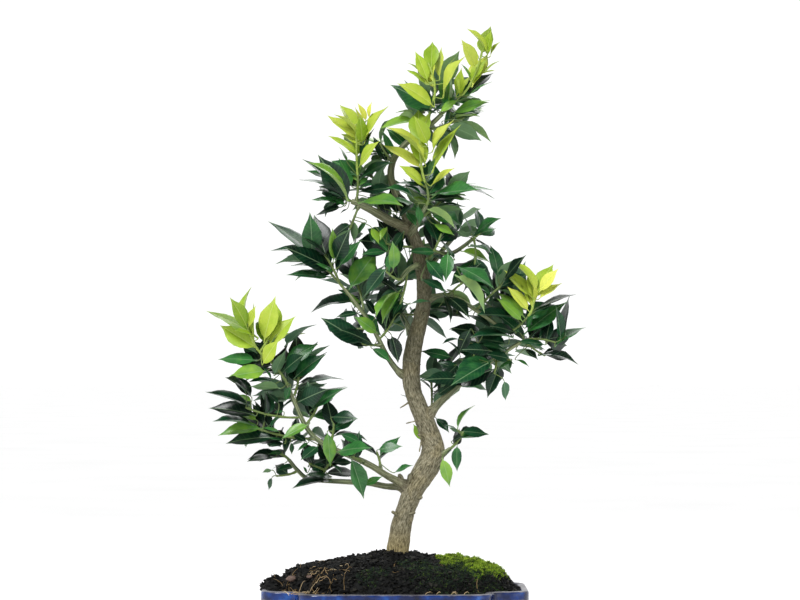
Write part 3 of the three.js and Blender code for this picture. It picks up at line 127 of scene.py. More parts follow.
def outlet(value):
    """A node stands for its first output in use. Anything else stands for itself."""
    return next(o for o in value.outputs if o.enabled) if isinstance(value, bpy.types.Node) else value


def add(tree, kind, inputs=None, stops=None, **settings):
    """Adds a node. An input is a value, another node or one of its outputs, and stops fill a colour ramp."""
    made = tree.nodes.new(kind)
    for name, value in settings.items():
        setattr(made, name, value)
    if stops:
        ramp = made.color_ramp
        while len(ramp.elements) < len(stops):
            ramp.elements.new(1)
        for element, (position, colour) in zip(ramp.elements, stops):
            element.position = position
            element.color = linear(colour)
    for key, value in (inputs or {}).items():
        value = outlet(value)
        if isinstance(value, bpy.types.NodeSocket):
            tree.links.new(value, made.inputs[key])
        else:
            made.inputs[key].default_value = value
    return made


def start_material(name, **surface):
    """A new node material with its one shader, whose constant sockets are set here."""
    material = bpy.data.materials.new(name)
    material.use_nodes = True
    tree = material.node_tree
    tree.nodes.clear()
    shader = add(tree, "ShaderNodeBsdfPrincipled", {k.replace("_", " "): v for k, v in surface.items()})
    add(tree, "ShaderNodeOutputMaterial", {"Surface": shader})
    return material, tree, shader


def feed(tree, shader, colour, roughness=None, relief=None):
    """Links what varies over the surface to the shader."""
    for output, socket in ((colour, "Base Color"), (roughness, "Roughness"), (relief, "Normal")):
        if output is not None:
            tree.links.new(outlet(output), shader.inputs[socket])


camera = put("camera", bpy.data.cameras.new("camera"))
camera.data.lens = LENS
camera.data.sensor_width = SENSOR
camera.data.clip_end = SIGHT
camera.location = place(CAMERA_AT)
camera.rotation_euler = (math.radians(90 + CAMERA_TILT), 0, 0)
bpy.context.scene.camera = camera
bpy.context.scene.view_settings.view_transform = "Standard"

world = bpy.data.worlds.new("studio")
world.use_nodes = True
tree = world.node_tree
looking = add(tree, "ShaderNodeSeparateXYZ", {"Vector": add(tree, "ShaderNodeTexCoord").outputs["Generated"]})
height = add(tree, "ShaderNodeMapRange", {"Value": looking.outputs["Z"], "From Min": BAND_TOP,
                                          "From Max": DOME_FROM, "To Min": BAND, "To Max": DOME})
tree.links.new(height.outputs["Result"], tree.nodes["Background"].inputs["Strength"])
tree.nodes["Background"].inputs["Color"].default_value = (1, 1, 1, 1)
bpy.context.scene.world = world

sun = put("soft_sun", bpy.data.lights.new("soft_sun", "SUN"))
sun.data.energy = SUN["strength"]
sun.data.angle = math.radians(SUN["softness"])
sun.rotation_euler = [math.radians(a) for a in SUN["turn"]]

for lamp_name, (spot, size, watts) in LAMPS.items():
    lamp = put(lamp_name, bpy.data.lights.new(lamp_name, "AREA"))
    lamp.data.size = size * MM
    lamp.data.energy = watts
    lamp.location = place(spot)
    lamp.rotation_euler = (place(LAMP_AIM) - lamp.location).to_track_quat("-Z", "Y").to_euler()

# White studio paper: matt and even, with a faint tooth.
paper, tree, shader = start_material("white_studio_paper", Roughness=0.9)
speckle = add(tree, "ShaderNodeTexNoise", {"Scale": 300.0})
tint = add(tree, "ShaderNodeValToRGB", {"Fac": speckle}, [(0, "#F4F4F4"), (1, "#FFFFFF")])
feed(tree, shader, tint)
floor_mesh = bpy.data.meshes.new("studio_floor")
floor_edge = [(FLOOR_RADIUS * math.cos(a), FLOOR_RADIUS * math.sin(a), 0) for a in all_round(FLOOR_CORNERS)]
floor_mesh.from_pydata(floor_edge, [], [tuple(range(FLOOR_CORNERS))])
floor_mesh.materials.append(paper)
floor = put("studio_floor", floor_mesh)

# Pot
# One slip-cast stoneware body: two rounded rectangles laid crosswise give four lobes, with a banded rim
# and four bracket feet. Dipped in a glossy cobalt glaze that breaks thin and grey-brown on the rim's edge.
POT = {"half_width": 131, "half_depth": 98, "notch_x": 37, "notch_y": 36, "corner": 22, "notch": 12}
POT_OUTSIDE = [  # height, inset from the rim band, from the middle of the underside to the rim
    (8, 16.5), (9.5, 16.2), (20, 14.2), (40, 11), (58, 8), (62, 6.4), (65, 3.2), (66.6, 1.2), (68.2, 0.2),
    (69.5, 0), (75.5, 0), (76.9, 0.4), (77.7, 1.3), (78, 2.6),
]
POT_INSIDE = [(78, 4.9), (77.5, 6.3), (76.3, 7.3), (70, 10), (45, 15), (22, 19.2), (19, 21)]
FOOT_LEVELS = [(0, 20.6, 28), (1.2, 19.4, 29), (9, 17.5, 29)]  # height, outer inset, inner inset
FOOT_ENDS = (48, 26)  # where each foot stops along the front lobe and the side lobe
DRAIN_X, DRAIN_R, DRAIN_SIDES = 50, 8, 40
DRAIN_SPAN = (2, 26)  # heights between which the holes are cut
RIM_WEAR = (0.0776, 0.0788)  # m, between these heights the glaze turns thin
BAND_EDGE, BAND_WEAR = 0.0702, (0.0003, 0.0011)  # m, the band's lower edge and the reach of its thin glaze


def corner_line(inset, turn_steps, notch_steps):
    """A quarter of the pot's outline in plan, from the side lobe round the notch to the front lobe."""
    turn = max(POT["corner"] - inset, 1)
    side_x, side_y = POT["half_width"] - inset, POT["half_depth"] - POT["notch_y"] - inset
    front_x, front_y = POT["half_width"] - POT["notch_x"] - inset, POT["half_depth"] - inset
    arcs = [
        (side_x - turn, side_y - turn, turn, 0, 90, turn_steps),
        (front_x + POT["notch"], side_y + POT["notch"], POT["notch"], -90, -180, notch_steps),
        (front_x - turn, front_y - turn, turn, 0, 90, turn_steps),
    ]
    line = []
    for x, y, r, start, end, steps in arcs:
        for angle in np.radians(np.linspace(start, end, steps + 1)):
            line.append((x + r * math.cos(angle), y + r * math.sin(angle)))
    return np.array(line)


def lobed_ring(inset, height, turn_steps=8, notch_steps=5):
    """The pot's whole outline at one height."""
    quarter = corner_line(inset, turn_steps, notch_steps)
    back = quarter[::-1]
    ring = np.vstack([quarter, back * (-1, 1), quarter * (-1, -1), back * (1, -1)])
    return np.column_stack([ring, np.full(len(ring), height)])


def walls(levels, count, start=0):
    """The faces between rings of so many points each, from the first point's number on."""
    faces = []
    for i in range(levels - 1):
        for j in range(count):
            a, b = start + i * count + j, start + i * count + (j + 1) % count
            faces.append((a, b, b + count, a + count))
    return faces


def skin(rings):
    """Points and faces of a surface through the rings, closed at each end by a fan from its middle."""
    count = len(rings[0])
    points = np.vstack(rings + [rings[0].mean(0), rings[-1].mean(0)])
    faces = walls(len(rings), count)
    last, low, high = (len(rings) - 1) * count, len(points) - 2, len(points) - 1
    for j in range(count):
        faces.append(((j + 1) % count, j, low))
        faces.append((last + j, last + (j + 1) % count, high))
    return points, faces


def face_outwards(mesh):
    """Turns a closed mesh's faces outwards."""
    shell = bmesh.new()
    shell.from_mesh(mesh)
    bmesh.ops.recalc_face_normals(shell, faces=shell.faces)
    shell.to_mesh(mesh)
    shell.free()


def piece(name, points, faces, material=None, edges=()):
    """A new object from points in mm, with its faces turned outwards."""
    mesh = bpy.data.meshes.new(name)
    mesh.from_pydata([place(p) for p in points], list(edges), [tuple(int(i) for i in f) for f in faces])
    if len(faces):
        face_outwards(mesh)
    if material:
        mesh.materials.append(material)
    return put(name, mesh)


def settle(made, smooth_below=40):
    """Bakes an object's modifiers into a plain mesh, shaded smooth across edges flatter than the angle."""
    shapes = bpy.context.evaluated_depsgraph_get()
    finished = bpy.data.meshes.new_from_object(
        made.evaluated_get(shapes), preserve_all_data_layers=True, depsgraph=shapes)
    made.modifiers.clear()
    made.data = finished
    finished.shade_smooth()
    if smooth_below < 180:
        finished.set_sharp_from_angle(angle=math.radians(smooth_below))
    return made


def belongs(made, slot, *nodes):
    """The piece is part of the plant's one body and stands for these solids. The slot is not used."""
    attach(made, "root")
    if nodes:
        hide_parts(*nodes)


# Glazed stoneware: glassy, so sharp highlights; the glaze pools darker and lighter over about 15 mm.
glaze, tree, shader = start_material("cobalt_glazed_stoneware", IOR=1.5, Specular_IOR_Level=0.35,
                                     Coat_Weight=0.12, Coat_Roughness=0.05)
at = add(tree, "ShaderNodeTexCoord")
pooling = add(tree, "ShaderNodeTexNoise", {"Vector": at.outputs["Object"], "Scale": 60.0, "Detail": 5.0})
blues = add(tree, "ShaderNodeValToRGB", {"Fac": pooling},
            [(0.28, "#01071A"), (0.45, "#041846"), (0.6, "#082E70"), (0.8, "#1C5CAC")])
specks = add(tree, "ShaderNodeTexVoronoi", {"Vector": at.outputs["Object"], "Scale": 420.0})
speck_mask = add(tree, "ShaderNodeMapRange", {"Value": specks, "From Min": 0.05,
                                              "From Max": 0.2, "To Min": 0.45, "To Max": 0.0})
flecked = add(tree, "ShaderNodeMix", {"Factor": speck_mask, "A": blues, "B": linear("#0A1440")},
              data_type="RGBA")
place_xyz = add(tree, "ShaderNodeSeparateXYZ", {"Vector": at.outputs["Object"]})
ragged = add(tree, "ShaderNodeTexNoise", {"Vector": at.outputs["Object"], "Scale": 150.0, "Detail": 4.0})
ragged_height = add(tree, "ShaderNodeMath", {0: ragged, 1: 0.0022, 2: place_xyz.outputs["Z"]},
                    operation="MULTIPLY_ADD")
rim = add(tree, "ShaderNodeMapRange", {"Value": ragged_height, "From Min": RIM_WEAR[0],
                                       "From Max": RIM_WEAR[1]})
band = add(tree, "ShaderNodeMath", {0: ragged_height, 1: BAND_EDGE}, operation="SUBTRACT")
band_away = add(tree, "ShaderNodeMath", {0: band}, operation="ABSOLUTE")
band_edge = add(tree, "ShaderNodeMapRange", {"Value": band_away, "From Min": BAND_WEAR[0],
                                             "From Max": BAND_WEAR[1], "To Min": 0.55, "To Max": 0.0})
thin = add(tree, "ShaderNodeMath", {0: rim, 1: band_edge}, operation="MAXIMUM")
edge_colour = add(tree, "ShaderNodeValToRGB", {"Fac": pooling},
                  [(0.35, "#45434A"), (0.6, "#6C6B73"), (0.8, "#938B7E")])
glazed = add(tree, "ShaderNodeMix", {"Factor": thin, "A": flecked, "B": edge_colour}, data_type="RGBA")
shine = add(tree, "ShaderNodeMapRange", {"Value": thin, "To Min": 0.12, "To Max": 0.42})
ripple = add(tree, "ShaderNodeBump", {"Height": pooling, "Strength": 0.12, "Distance": 0.002})
feed(tree, shader, glazed, shine, ripple)

rings = [lobed_ring(inset, z) for z, inset in POT_OUTSIDE + POT_INSIDE]
pot = piece("glazed_pot", *skin(rings), glaze)
feet_points, feet_faces = [], []
for flip_x, flip_y in ((1, 1), (-1, 1), (-1, -1), (1, -1)):
    loops = []
    for z, outer, inner in FOOT_LEVELS:
        outside, inside = corner_line(outer, 5, 3), corner_line(inner, 5, 3)
        outside = np.vstack([(outside[0, 0], FOOT_ENDS[1]), outside, (FOOT_ENDS[0], outside[-1, 1])])
        inside = np.vstack([(inside[0, 0], FOOT_ENDS[1]), inside, (FOOT_ENDS[0], inside[-1, 1])])
        loop = np.vstack([outside, inside[::-1]]) * (flip_x, flip_y)
        loops.append(np.column_stack([loop, np.full(len(loop), z)]))
    count, start = len(loops[0]), len(feet_points)
    feet_points.extend(np.vstack(loops))
    feet_faces.extend(walls(len(loops), count, start))
    for level in (0, len(loops) - 1):
        for j in range(count // 2 - 1):
            a, b = start + level * count + j, start + level * count + count - 1 - j
            feet_faces.append((a, a + 1, b - 1, b))
feet = piece("feet", feet_points, feet_faces)
drains = []
for side in (-1, 1):
    turn = all_round(DRAIN_SIDES)
    circle = np.column_stack([side * DRAIN_X + DRAIN_R * np.cos(turn), DRAIN_R * np.sin(turn)])
    levels = [np.column_stack([circle, np.full(DRAIN_SIDES, z)]) for z in DRAIN_SPAN]
    drains.append(piece("drain", *skin(levels)))
for other, operation in ((feet, "UNION"), (drains[0], "DIFFERENCE"), (drains[1], "DIFFERENCE")):
    joint = pot.modifiers.new(operation, "BOOLEAN")
    joint.operation = operation
    joint.object = other
settle(pot)
for other in (feet, *drains):
    bpy.data.objects.remove(other)
belongs(pot, "pot_glaze", "pot")

# Drainage screens
# A flat grid of moulded black plastic lies over each hole in the pot's floor and keeps the soil in. The
# solids are right as they are, so they only take their finish here: a matt plastic with light scuffs.
mesh_plastic, tree, shader = start_material("moulded_black_polypropylene", IOR=1.49, Roughness=0.55)
at = add(tree, "ShaderNodeTexCoord")
scuffs = add(tree, "ShaderNodeTexNoise", {"Vector": at.outputs["Object"], "Scale": 900.0, "Detail": 3.0})
scuffed = add(tree, "ShaderNodeValToRGB", {"Fac": scuffs}, [(0.3, "#141414"), (0.7, "#2A2927")])
feed(tree, shader, scuffed)
for screen in ("screen_left", "screen_right"):
    frame["nodes"][screen].data.materials.clear()
    frame["nodes"][screen].data.materials.append(mesh_plastic)

# Soil
# Moist bark and peat crumbs, pressed round the roots and mounded up to the trunk. The bed has crumb relief,
# and loose chips, straw, fine roots, grass and a few pebbles lie on it.
SOIL = {"inset": 9.6, "edge_z": 76, "shoulder": 19, "peak": 20, "crumb": 1.4}
BED_SHARES = np.linspace(1, 0.012, 84)  # rings of the top, from the pot's wall to the middle
BED_POINTS = 380  # round each ring
BED_BELOW = ((19.3, 20.4), (69, 10.8))  # height and inset of the bed's foot and of its wall under the top
CLODS = {"coarse": (2.8, 6.5), "fine": (1.3, 2.6)}  # height and width in mm
PLAIN_TONE = 0.35  # of the peat, where chips have lighter and darker ones
CHIP_SHAPES, CHIP_CORNERS, CHIP_THICK = 6, 12, 0.42
CRUMBS = {"density": 0.205, "length": 4.2}  # loose chips per square mm of plan, and their length in mm
STRAW = {"count": 100, "length": (5, 14), "radius": 0.29, "steps": 7, "sides": 5}
STRAW_FRONT = {"share": 0.75, "x": (-82, 17), "y": (-60, 13)}  # most lies at the left front: mean and spread
STRAW_REST = {"x": (-95, 95), "y": (-80, 70)}
PEBBLES = [(-101, -40, 4.4, 0.25), (-83, -52, 2.4, 0.6)]
PEBBLE_SHAPE = (1.25, 1, 0.72)  # how much each is stretched and flattened
GRASS = [(-117, -12, -7, 22), (-93, -24, 3, 15), (-110, -34, -9, 9), (-101, -38, 6, 12)]
RIM_ROOTS = [(36, -7), (44, -4), (55, 4), (60, -6), (71, -5)]  # over the front rim: x, how far each swings
HEAP = {"x": -119.5, "y": -4, "rx": 13, "ry": 36, "foot": 75, "rim": 77.5, "height": 11, "points": 90}
# pebbles: x, y, radius, pattern; blades of grass: x, y, lean, height; the heap lies over the rim's left end
SOIL_HALF_X, SOIL_HALF_Y = POT["half_width"] - SOIL["inset"], POT["half_depth"] - SOIL["inset"]


def soil_height(x, y, edge_share):
    """The soil's form: a mound with coarse waves, level at the pot's wall."""
    out = np.minimum(1, np.hypot(x / SOIL_HALF_X, y / SOIL_HALF_Y))
    mound = SOIL["shoulder"] * (1 - out ** 16) + SOIL["peak"] * (1 - out) ** 1.3
    waves = np.sin(x * 0.61 + 2.1 * np.sin(y * 0.37)) * np.sin(y * 0.67 + 1.7 * np.sin(x * 0.31))
    return SOIL["edge_z"] + mound * (1 - edge_share ** 16) + SOIL["crumb"] * waves


def edge_share_at(x, y):
    """How near a point of the plan is to the pot's wall, from 0 in the middle to 1."""
    return np.clip(np.maximum(np.abs(x) / SOIL_HALF_X, np.abs(y) / POT["half_depth"]), 0, 1)


def even_ring(ring, count):
    """The ring's outline again, with evenly spaced points."""
    closed = np.vstack([ring, ring[:1]])
    run = np.concatenate([[0], np.cumsum(np.linalg.norm(np.diff(closed, axis=0), axis=1))])
    steps = np.linspace(0, run[-1], count, endpoint=False)
    return np.column_stack([np.interp(steps, run, closed[:, k]) for k in range(3)])


def cells(points, size):
    """Distance to the middle of the nearest of many scattered cells, as a share of the cells' size."""
    return np.array([noise.voronoi(Vector(p) / size)[0][0] for p in points])


def start_tree(name, **sizes):
    """A new geometry tree: a mesh goes in and out, and each named input has a socket of the given kind."""
    tree = bpy.data.node_groups.new(name, "GeometryNodeTree")
    tree.interface.new_socket("Geometry", in_out="INPUT", socket_type="NodeSocketGeometry")
    tree.interface.new_socket("Geometry", in_out="OUTPUT", socket_type="NodeSocketGeometry")
    for size, kind in sizes.items():
        tree.interface.new_socket(size.replace("_", " "), in_out="INPUT", socket_type="NodeSocket" + kind)
    return tree, add(tree, "NodeGroupInput").outputs


def end_tree(tree, geometry, *materials):
    """Makes instances real and gives the material, and then each further one where its selection says."""
    shape = add(tree, "GeometryNodeRealizeInstances", {"Geometry": geometry})
    for material, selection in materials:
        choice = {"Selection": selection} if selection else {}
        shape = add(tree, "GeometryNodeSetMaterial", {"Geometry": shape, "Material": material, **choice})
    add(tree, "NodeGroupOutput", {"Geometry": shape})


def fit_tree(made, tree, **sizes):
    """Adds the tree to the object as a modifier, with its named inputs set, and bakes it."""
    fitted = made.modifiers.new(tree.name, "NODES")
    fitted.node_group = tree
    for socket in tree.interface.items_tree:
        if socket.in_out == "INPUT" and socket.name.replace(" ", "_") in sizes:
            fitted[socket.identifier] = sizes[socket.name.replace(" ", "_")]
    return settle(made)


def mark(made, name, values, kind="FLOAT", domain="POINT"):
    """Stores a value for each point or face of a piece's mesh."""
    layer = made.data.attributes.new(name, kind, domain)
    layer.data.foreach_set("vector" if kind == "FLOAT_VECTOR" else "value", np.ravel(values))


def shapes_box(name, shapes):
    """A collection of small shapes for a tree to pick from. It is never shown itself."""
    box = bpy.data.collections.new(name)
    for shape in shapes:
        bpy.context.scene.collection.objects.unlink(shape)
        box.objects.link(shape)
    return box


def empty_box(box):
    """Removes the small shapes once the trees that picked from them are baked."""
    for shape in list(box.objects):
        bpy.data.objects.remove(shape)
    bpy.data.collections.remove(box)


def named(tree, name, kind="FLOAT"):
    """A geometry tree's reading of a stored attribute."""
    return add(tree, "GeometryNodeInputNamedAttribute", {"Name": name}, data_type=kind)


# Moist peat and bark: nearly black, matt, with brown chips and a faint damp gleam.
peat, tree, shader = start_material("moist_bark_and_peat", Roughness=0.7, Specular_IOR_Level=0.2)
at = add(tree, "ShaderNodeTexCoord")
grains = add(tree, "ShaderNodeTexNoise", {"Vector": at.outputs["Object"], "Scale": 420.0, "Detail": 6.0})
chip_tone = add(tree, "ShaderNodeAttribute", attribute_name="tone")
mottle = add(tree, "ShaderNodeMath", {0: chip_tone.outputs["Fac"], 1: 0.55, 2: -0.2},
             operation="MULTIPLY_ADD")
mixed = add(tree, "ShaderNodeMath", {0: grains, 1: mottle}, operation="ADD")
browns = add(tree, "ShaderNodeValToRGB", {"Fac": mixed},
             [(0.3, "#010202"), (0.52, "#030404"), (0.7, "#090B0A"), (0.9, "#2C2A24")])
grit = add(tree, "ShaderNodeBump", {"Height": grains, "Strength": 0.6, "Distance": 0.0006})
feed(tree, shader, browns, relief=grit)

rings = [even_ring(lobed_ring(inset, z), BED_POINTS) for z, inset in BED_BELOW]
wall = even_ring(lobed_ring(SOIL["inset"], 0), BED_POINTS)
(coarse, coarse_width), (fine, fine_width) = CLODS["coarse"], CLODS["fine"]
for share in BED_SHARES:
    x, y = wall[:, 0] * share, wall[:, 1] * share
    ring = np.column_stack([x, y, soil_height(x, y, share)])
    clods = coarse * (0.55 - cells(ring, coarse_width)) + fine * (0.5 - cells(ring + 50, fine_width))
    ring[:, 2] += clods * min(1, (1 - share) * 40 + 0.35)
    rings.append(ring)
bed = piece("soil_bed", *skin(rings), peat)
mark(bed, "tone", np.full(len(bed.data.vertices), PLAIN_TONE))
settle(bed, 180)
belongs(bed, "bark_soil", "soil")


def soil_point(x, y, lift=0.0):
    """A point on the soil in mm."""
    return np.array([x, y, float(soil_height(x, y, edge_share_at(x, y))) + lift])


# The loose chips: six broken shapes of about twenty faces, scattered over the bed and turned at random
chance = random.Random(7)
chips = []
for k in range(CHIP_SHAPES):
    shell = bmesh.new()
    for _ in range(CHIP_CORNERS):
        spans = (1, chance.uniform(0.45, 0.8), CHIP_THICK)
        shell.verts.new([MM * s * chance.uniform(-0.5, 0.5) for s in spans])
    bmesh.ops.convex_hull(shell, input=shell.verts)
    loose = [v for v in shell.verts if not v.link_faces]
    bmesh.ops.delete(shell, geom=loose, context="VERTS")
    mesh = bpy.data.meshes.new(f"chip_{k}")
    shell.to_mesh(mesh)
    shell.free()
    chips.append(put(f"chip_{k}", mesh))
chip_box = shapes_box("chips", chips)

tree, given = start_tree("scattered_chips", Density="Float", Length="Float", Shapes="Collection", Seed="Int")
upward = add(tree, "ShaderNodeSeparateXYZ", {"Vector": add(tree, "GeometryNodeInputNormal")})
is_top = add(tree, "FunctionNodeCompare", {"A": upward.outputs["Z"], "B": 0.3}, operation="GREATER_THAN")
spread = add(tree, "GeometryNodeDistributePointsOnFaces", {
    "Mesh": given["Geometry"], "Selection": is_top, "Density": given["Density"], "Seed": given["Seed"]})
turn = add(tree, "FunctionNodeRandomValue", {
    0: (-0.7, -0.7, 0.0), 1: (0.7, 0.7, 6.28), "Seed": given["Seed"]}, data_type="FLOAT_VECTOR")
grade = add(tree, "FunctionNodeRandomValue", {"Min": 0.0, "Max": 1.0, "Seed": 3})
curved = add(tree, "ShaderNodeMath", {0: grade, 1: 2.2}, operation="POWER")
sizes = add(tree, "ShaderNodeMapRange", {"Value": curved, "To Min": 0.45, "To Max": 2.1})
scaled = add(tree, "ShaderNodeMath", {0: sizes, 1: given["Length"]}, operation="MULTIPLY")
pool = add(tree, "GeometryNodeCollectionInfo", {"Collection": given["Shapes"], "Separate Children": True,
                                                "Reset Children": True})
strewn = add(tree, "GeometryNodeInstanceOnPoints", {
    "Points": spread, "Instance": pool, "Pick Instance": True, "Rotation": turn, "Scale": scaled})
shade = add(tree, "FunctionNodeRandomValue", {"Min": 0.0, "Max": 1.0, "Seed": 11})
toned = add(tree, "GeometryNodeStoreNamedAttribute", {
    "Geometry": strewn, "Name": "tone", "Value": shade}, domain="INSTANCE")
end_tree(tree, toned, (peat, None))
chip_tree = tree


def strew(name, ground, seed):
    """Loose chips all over the ground, as a piece of their own."""
    made = put(name, ground.data.copy())
    fit_tree(made, chip_tree, Density=CRUMBS["density"] / MM ** 2, Length=CRUMBS["length"], Shapes=chip_box,
             Seed=seed)
    made.data.shade_flat()
    belongs(made, "bark_soil")


strew("bark_crumbs", bed, 5)

# The heap over the rim's left end: a low crumbly ridge, and chips on it
spokes = all_round(HEAP["points"])
rings = []
for share in (1.0, *np.linspace(1, 0.05, 14)):
    x, y = HEAP["x"] + HEAP["rx"] * share * np.cos(spokes), HEAP["y"] + HEAP["ry"] * share * np.sin(spokes)
    ring = np.column_stack([x, y, np.full(HEAP["points"], float(HEAP["foot"]))])
    if rings:
        clods = 2.2 * (0.55 - cells(ring, 5.5)) * (1 - share)
        ring[:, 2] = HEAP["rim"] + HEAP["height"] * (1 - share ** 2) * (0.85 + 0.15 * np.sin(y * 0.5)) + clods
    rings.append(ring)
heap = piece("soil_heap", *skin(rings), peat)
mark(heap, "tone", np.full(len(heap.data.vertices), PLAIN_TONE))
settle(heap, 180)
belongs(heap, "bark_soil")
strew("heap_crumbs", heap, 6)
empty_box(chip_box)

# Straw, fine roots and grass: dry and matt, thin tubes along wandering paths, from dark brown to bleached.
dry_fibre, tree, shader = start_material("dry_straw_and_roots", Roughness=0.7)
tone = add(tree, "ShaderNodeAttribute", attribute_name="tone")
straws = add(tree, "ShaderNodeValToRGB", {"Fac": tone.outputs["Fac"]},
             [(0, "#3A2C18"), (0.3, "#7A6238"), (0.65, "#B4966A"), (1, "#DCC8A0")])
feed(tree, shader, straws)
tree, given = start_tree("thin_tubes", Radius="Float", Sides="Int")
lines = add(tree, "GeometryNodeMeshToCurve", {"Mesh": given["Geometry"]})
circle = add(tree, "GeometryNodeCurvePrimitiveCircle", {
    "Resolution": given["Sides"], "Radius": given["Radius"]})
tubes = add(tree, "GeometryNodeCurveToMesh", {
    "Curve": lines, "Profile Curve": circle, "Scale": named(tree, "thickness"), "Fill Caps": True})
end_tree(tree, tubes, (dry_fibre, None))
thin_tubes = tree


def paths_piece(name, paths):
    """Loose edges through each path's points, with each path's thickness and tone stored on them."""
    points, edges, thickness, tones = [], [], [], []
    for path, widths, tone in paths:
        edges.extend((len(points) + i, len(points) + i + 1) for i in range(len(path) - 1))
        points.extend(path)
        thickness.extend(widths)
        tones.extend([tone] * len(path))
    made = piece(name, points, [], edges=edges)
    mark(made, "thickness", thickness)
    mark(made, "tone", tones)
    return made


fibres, last = [], STRAW["steps"] - 1
for _ in range(STRAW["count"]):
    if chance.random() < STRAW_FRONT["share"]:
        x, y = chance.gauss(*STRAW_FRONT["x"]), chance.gauss(*STRAW_FRONT["y"])
    else:
        x, y = chance.uniform(*STRAW_REST["x"]), chance.uniform(*STRAW_REST["y"])
    heading, length = chance.uniform(0, 2 * math.pi), chance.uniform(*STRAW["length"])
    path, bend, rise = [], chance.uniform(-0.25, 0.25), chance.uniform(0, 2.4)
    for step in range(STRAW["steps"]):
        if edge_share_at(x, y) > 0.93:
            break
        path.append(soil_point(x, y, 1.0 + rise * math.sin(step / last * math.pi)))
        x, y = x + length / last * math.cos(heading), y + length / last * math.sin(heading)
        heading += bend + chance.uniform(-0.3, 0.3)
    if len(path) > 3:
        fibres.append((path, np.interp(range(len(path)), [0, len(path) - 1], [1, 0.45]), chance.random()))
for x, y, lean, height in GRASS:
    s = np.linspace(0, 1, STRAW["steps"])[:, None]
    path = soil_point(x, y) + s * (0, 0, height) + s ** 2 * (lean, 0, -0.12 * height)
    fibres.append((path, np.linspace(1.0, 0.35, STRAW["steps"]), 0.45))
for x, swing in RIM_ROOTS:
    path = [(x, -86, 79), (x + swing * 0.3, -91, 80.5), (x + swing * 0.8, -95.5, 79.6),
            (x + swing, -97.4, 78.4)]
    fibres.append((path, [0.8, 1, 0.9, 0.5], 0.8))
straw = paths_piece("straw_and_roots", fibres)
fit_tree(straw, thin_tubes, Radius=STRAW["radius"] * MM, Sides=STRAW["sides"])
belongs(straw, "bark_soil")

# River pebbles: worn smooth, matt, reddish grey
stone, tree, shader = start_material("worn_river_pebble", Roughness=0.8)
at = add(tree, "ShaderNodeTexCoord")
veins = add(tree, "ShaderNodeTexNoise", {"Vector": at.outputs["Object"], "Scale": 500.0, "Detail": 5.0})
stones = add(tree, "ShaderNodeValToRGB", {"Fac": veins}, [(0.3, "#3A2C27"), (0.7, "#7A655A")])
feed(tree, shader, stones)
shell = bmesh.new()
for x, y, r, grain in PEBBLES:
    made = bmesh.ops.create_icosphere(shell, subdivisions=3, radius=1)["verts"]
    for v in made:
        bulge = 1 + 0.22 * noise.noise(v.co * 1.3 + Vector((grain * 9, 0, 0)))
        flat = v.co * Vector(PEBBLE_SHAPE) * r * bulge
        v.co = place(soil_point(x, y, 0.35 * r) + np.array(flat))
mesh = bpy.data.meshes.new("pebbles")
shell.to_mesh(mesh)
shell.free()
mesh.materials.append(stone)
pebbles = put("pebbles", mesh)
settle(pebbles)
belongs(pebbles, "bark_soil")

# Moss
# A bright cushion of feather moss lies on the soil at the right front, and darker moss creeps from it to the
# trunk's foot, dark partly by its own colour and partly by painted shade. Each is thousands of little upright
# stars, rooted on a low bumpy dome or on the soil.
MOSS = {"x": 74, "y": -16, "rx": 34, "ry": 38, "height": 8, "points": 130, "rings": 34}
TUFT_SHAPES, TUFT_LEAVES = 5, 6
CUSHION_TUFTS, CUSHION_TUFT = 0.51, 3.5  # tufts per square mm, and their height in mm
MAT_TUFTS, MAT_TUFT = 0.5, 2.6
MATS = [(46, -62, 44, 24), (84, -50, 30, 18), (26, -44, 20, 14), (-20, -72, 18, 12)]
# each mat: x, y, half width, half depth

# Living moss: fine, soft and matt; the tips are lime and each tuft darkens to nearly brown-black at its root,
# partly older stem and partly painted shade deep in the moss.
moss_green, tree, shader = start_material("living_moss", Roughness=0.85)
tip = add(tree, "ShaderNodeAttribute", attribute_name="tip")
tone = add(tree, "ShaderNodeAttribute", attribute_name="tone")
bright = add(tree, "ShaderNodeValToRGB", {"Fac": tip.outputs["Fac"]},
             [(0, "#0C1A06"), (0.4, "#2E520C"), (0.78, "#86AA1C"), (1, "#CCDA46")])
# The dark greens: the darker moss's own colour together with painted shade.
dark_and_shaded_moss = add(tree, "ShaderNodeValToRGB", {"Fac": tip.outputs["Fac"]},
           [(0, "#040805"), (0.4, "#08140C"), (0.8, "#11281A"), (1, "#284C28")])
mossy = add(tree, "ShaderNodeMix", {"Factor": tone.outputs["Fac"], "A": dark_and_shaded_moss, "B": bright}, data_type="RGBA")
feed(tree, shader, mossy)

spokes = all_round(MOSS["points"])
wave = 1 + 0.09 * np.sin(3 * spokes + 1) + 0.06 * np.sin(7 * spokes)
rings = []
for share in (1.0, *np.linspace(1, 0.04, MOSS["rings"])):
    x = MOSS["x"] + MOSS["rx"] * share * wave * np.cos(spokes)
    y = MOSS["y"] + MOSS["ry"] * share * wave * np.sin(spokes)
    ground = soil_height(x, y, edge_share_at(x, y))
    if not rings:
        rings.append(np.column_stack([x, y, ground - 9]))
        continue
    tufts = np.sin(x * 1.3 + np.sin(y)) * np.sin(y * 1.1 + np.sin(x * 0.9))
    domes = 6 * (0.5 - cells(np.column_stack([x, y, x * 0]), 9))
    top = ground - 0.75 + (MOSS["height"] - 3 + 1.2 * tufts + domes) * (1 - share ** 3)
    rings.append(np.column_stack([x, y, top]))
cushion = piece("moss_dome", *skin(rings), moss_green)
settle(cushion, 180)

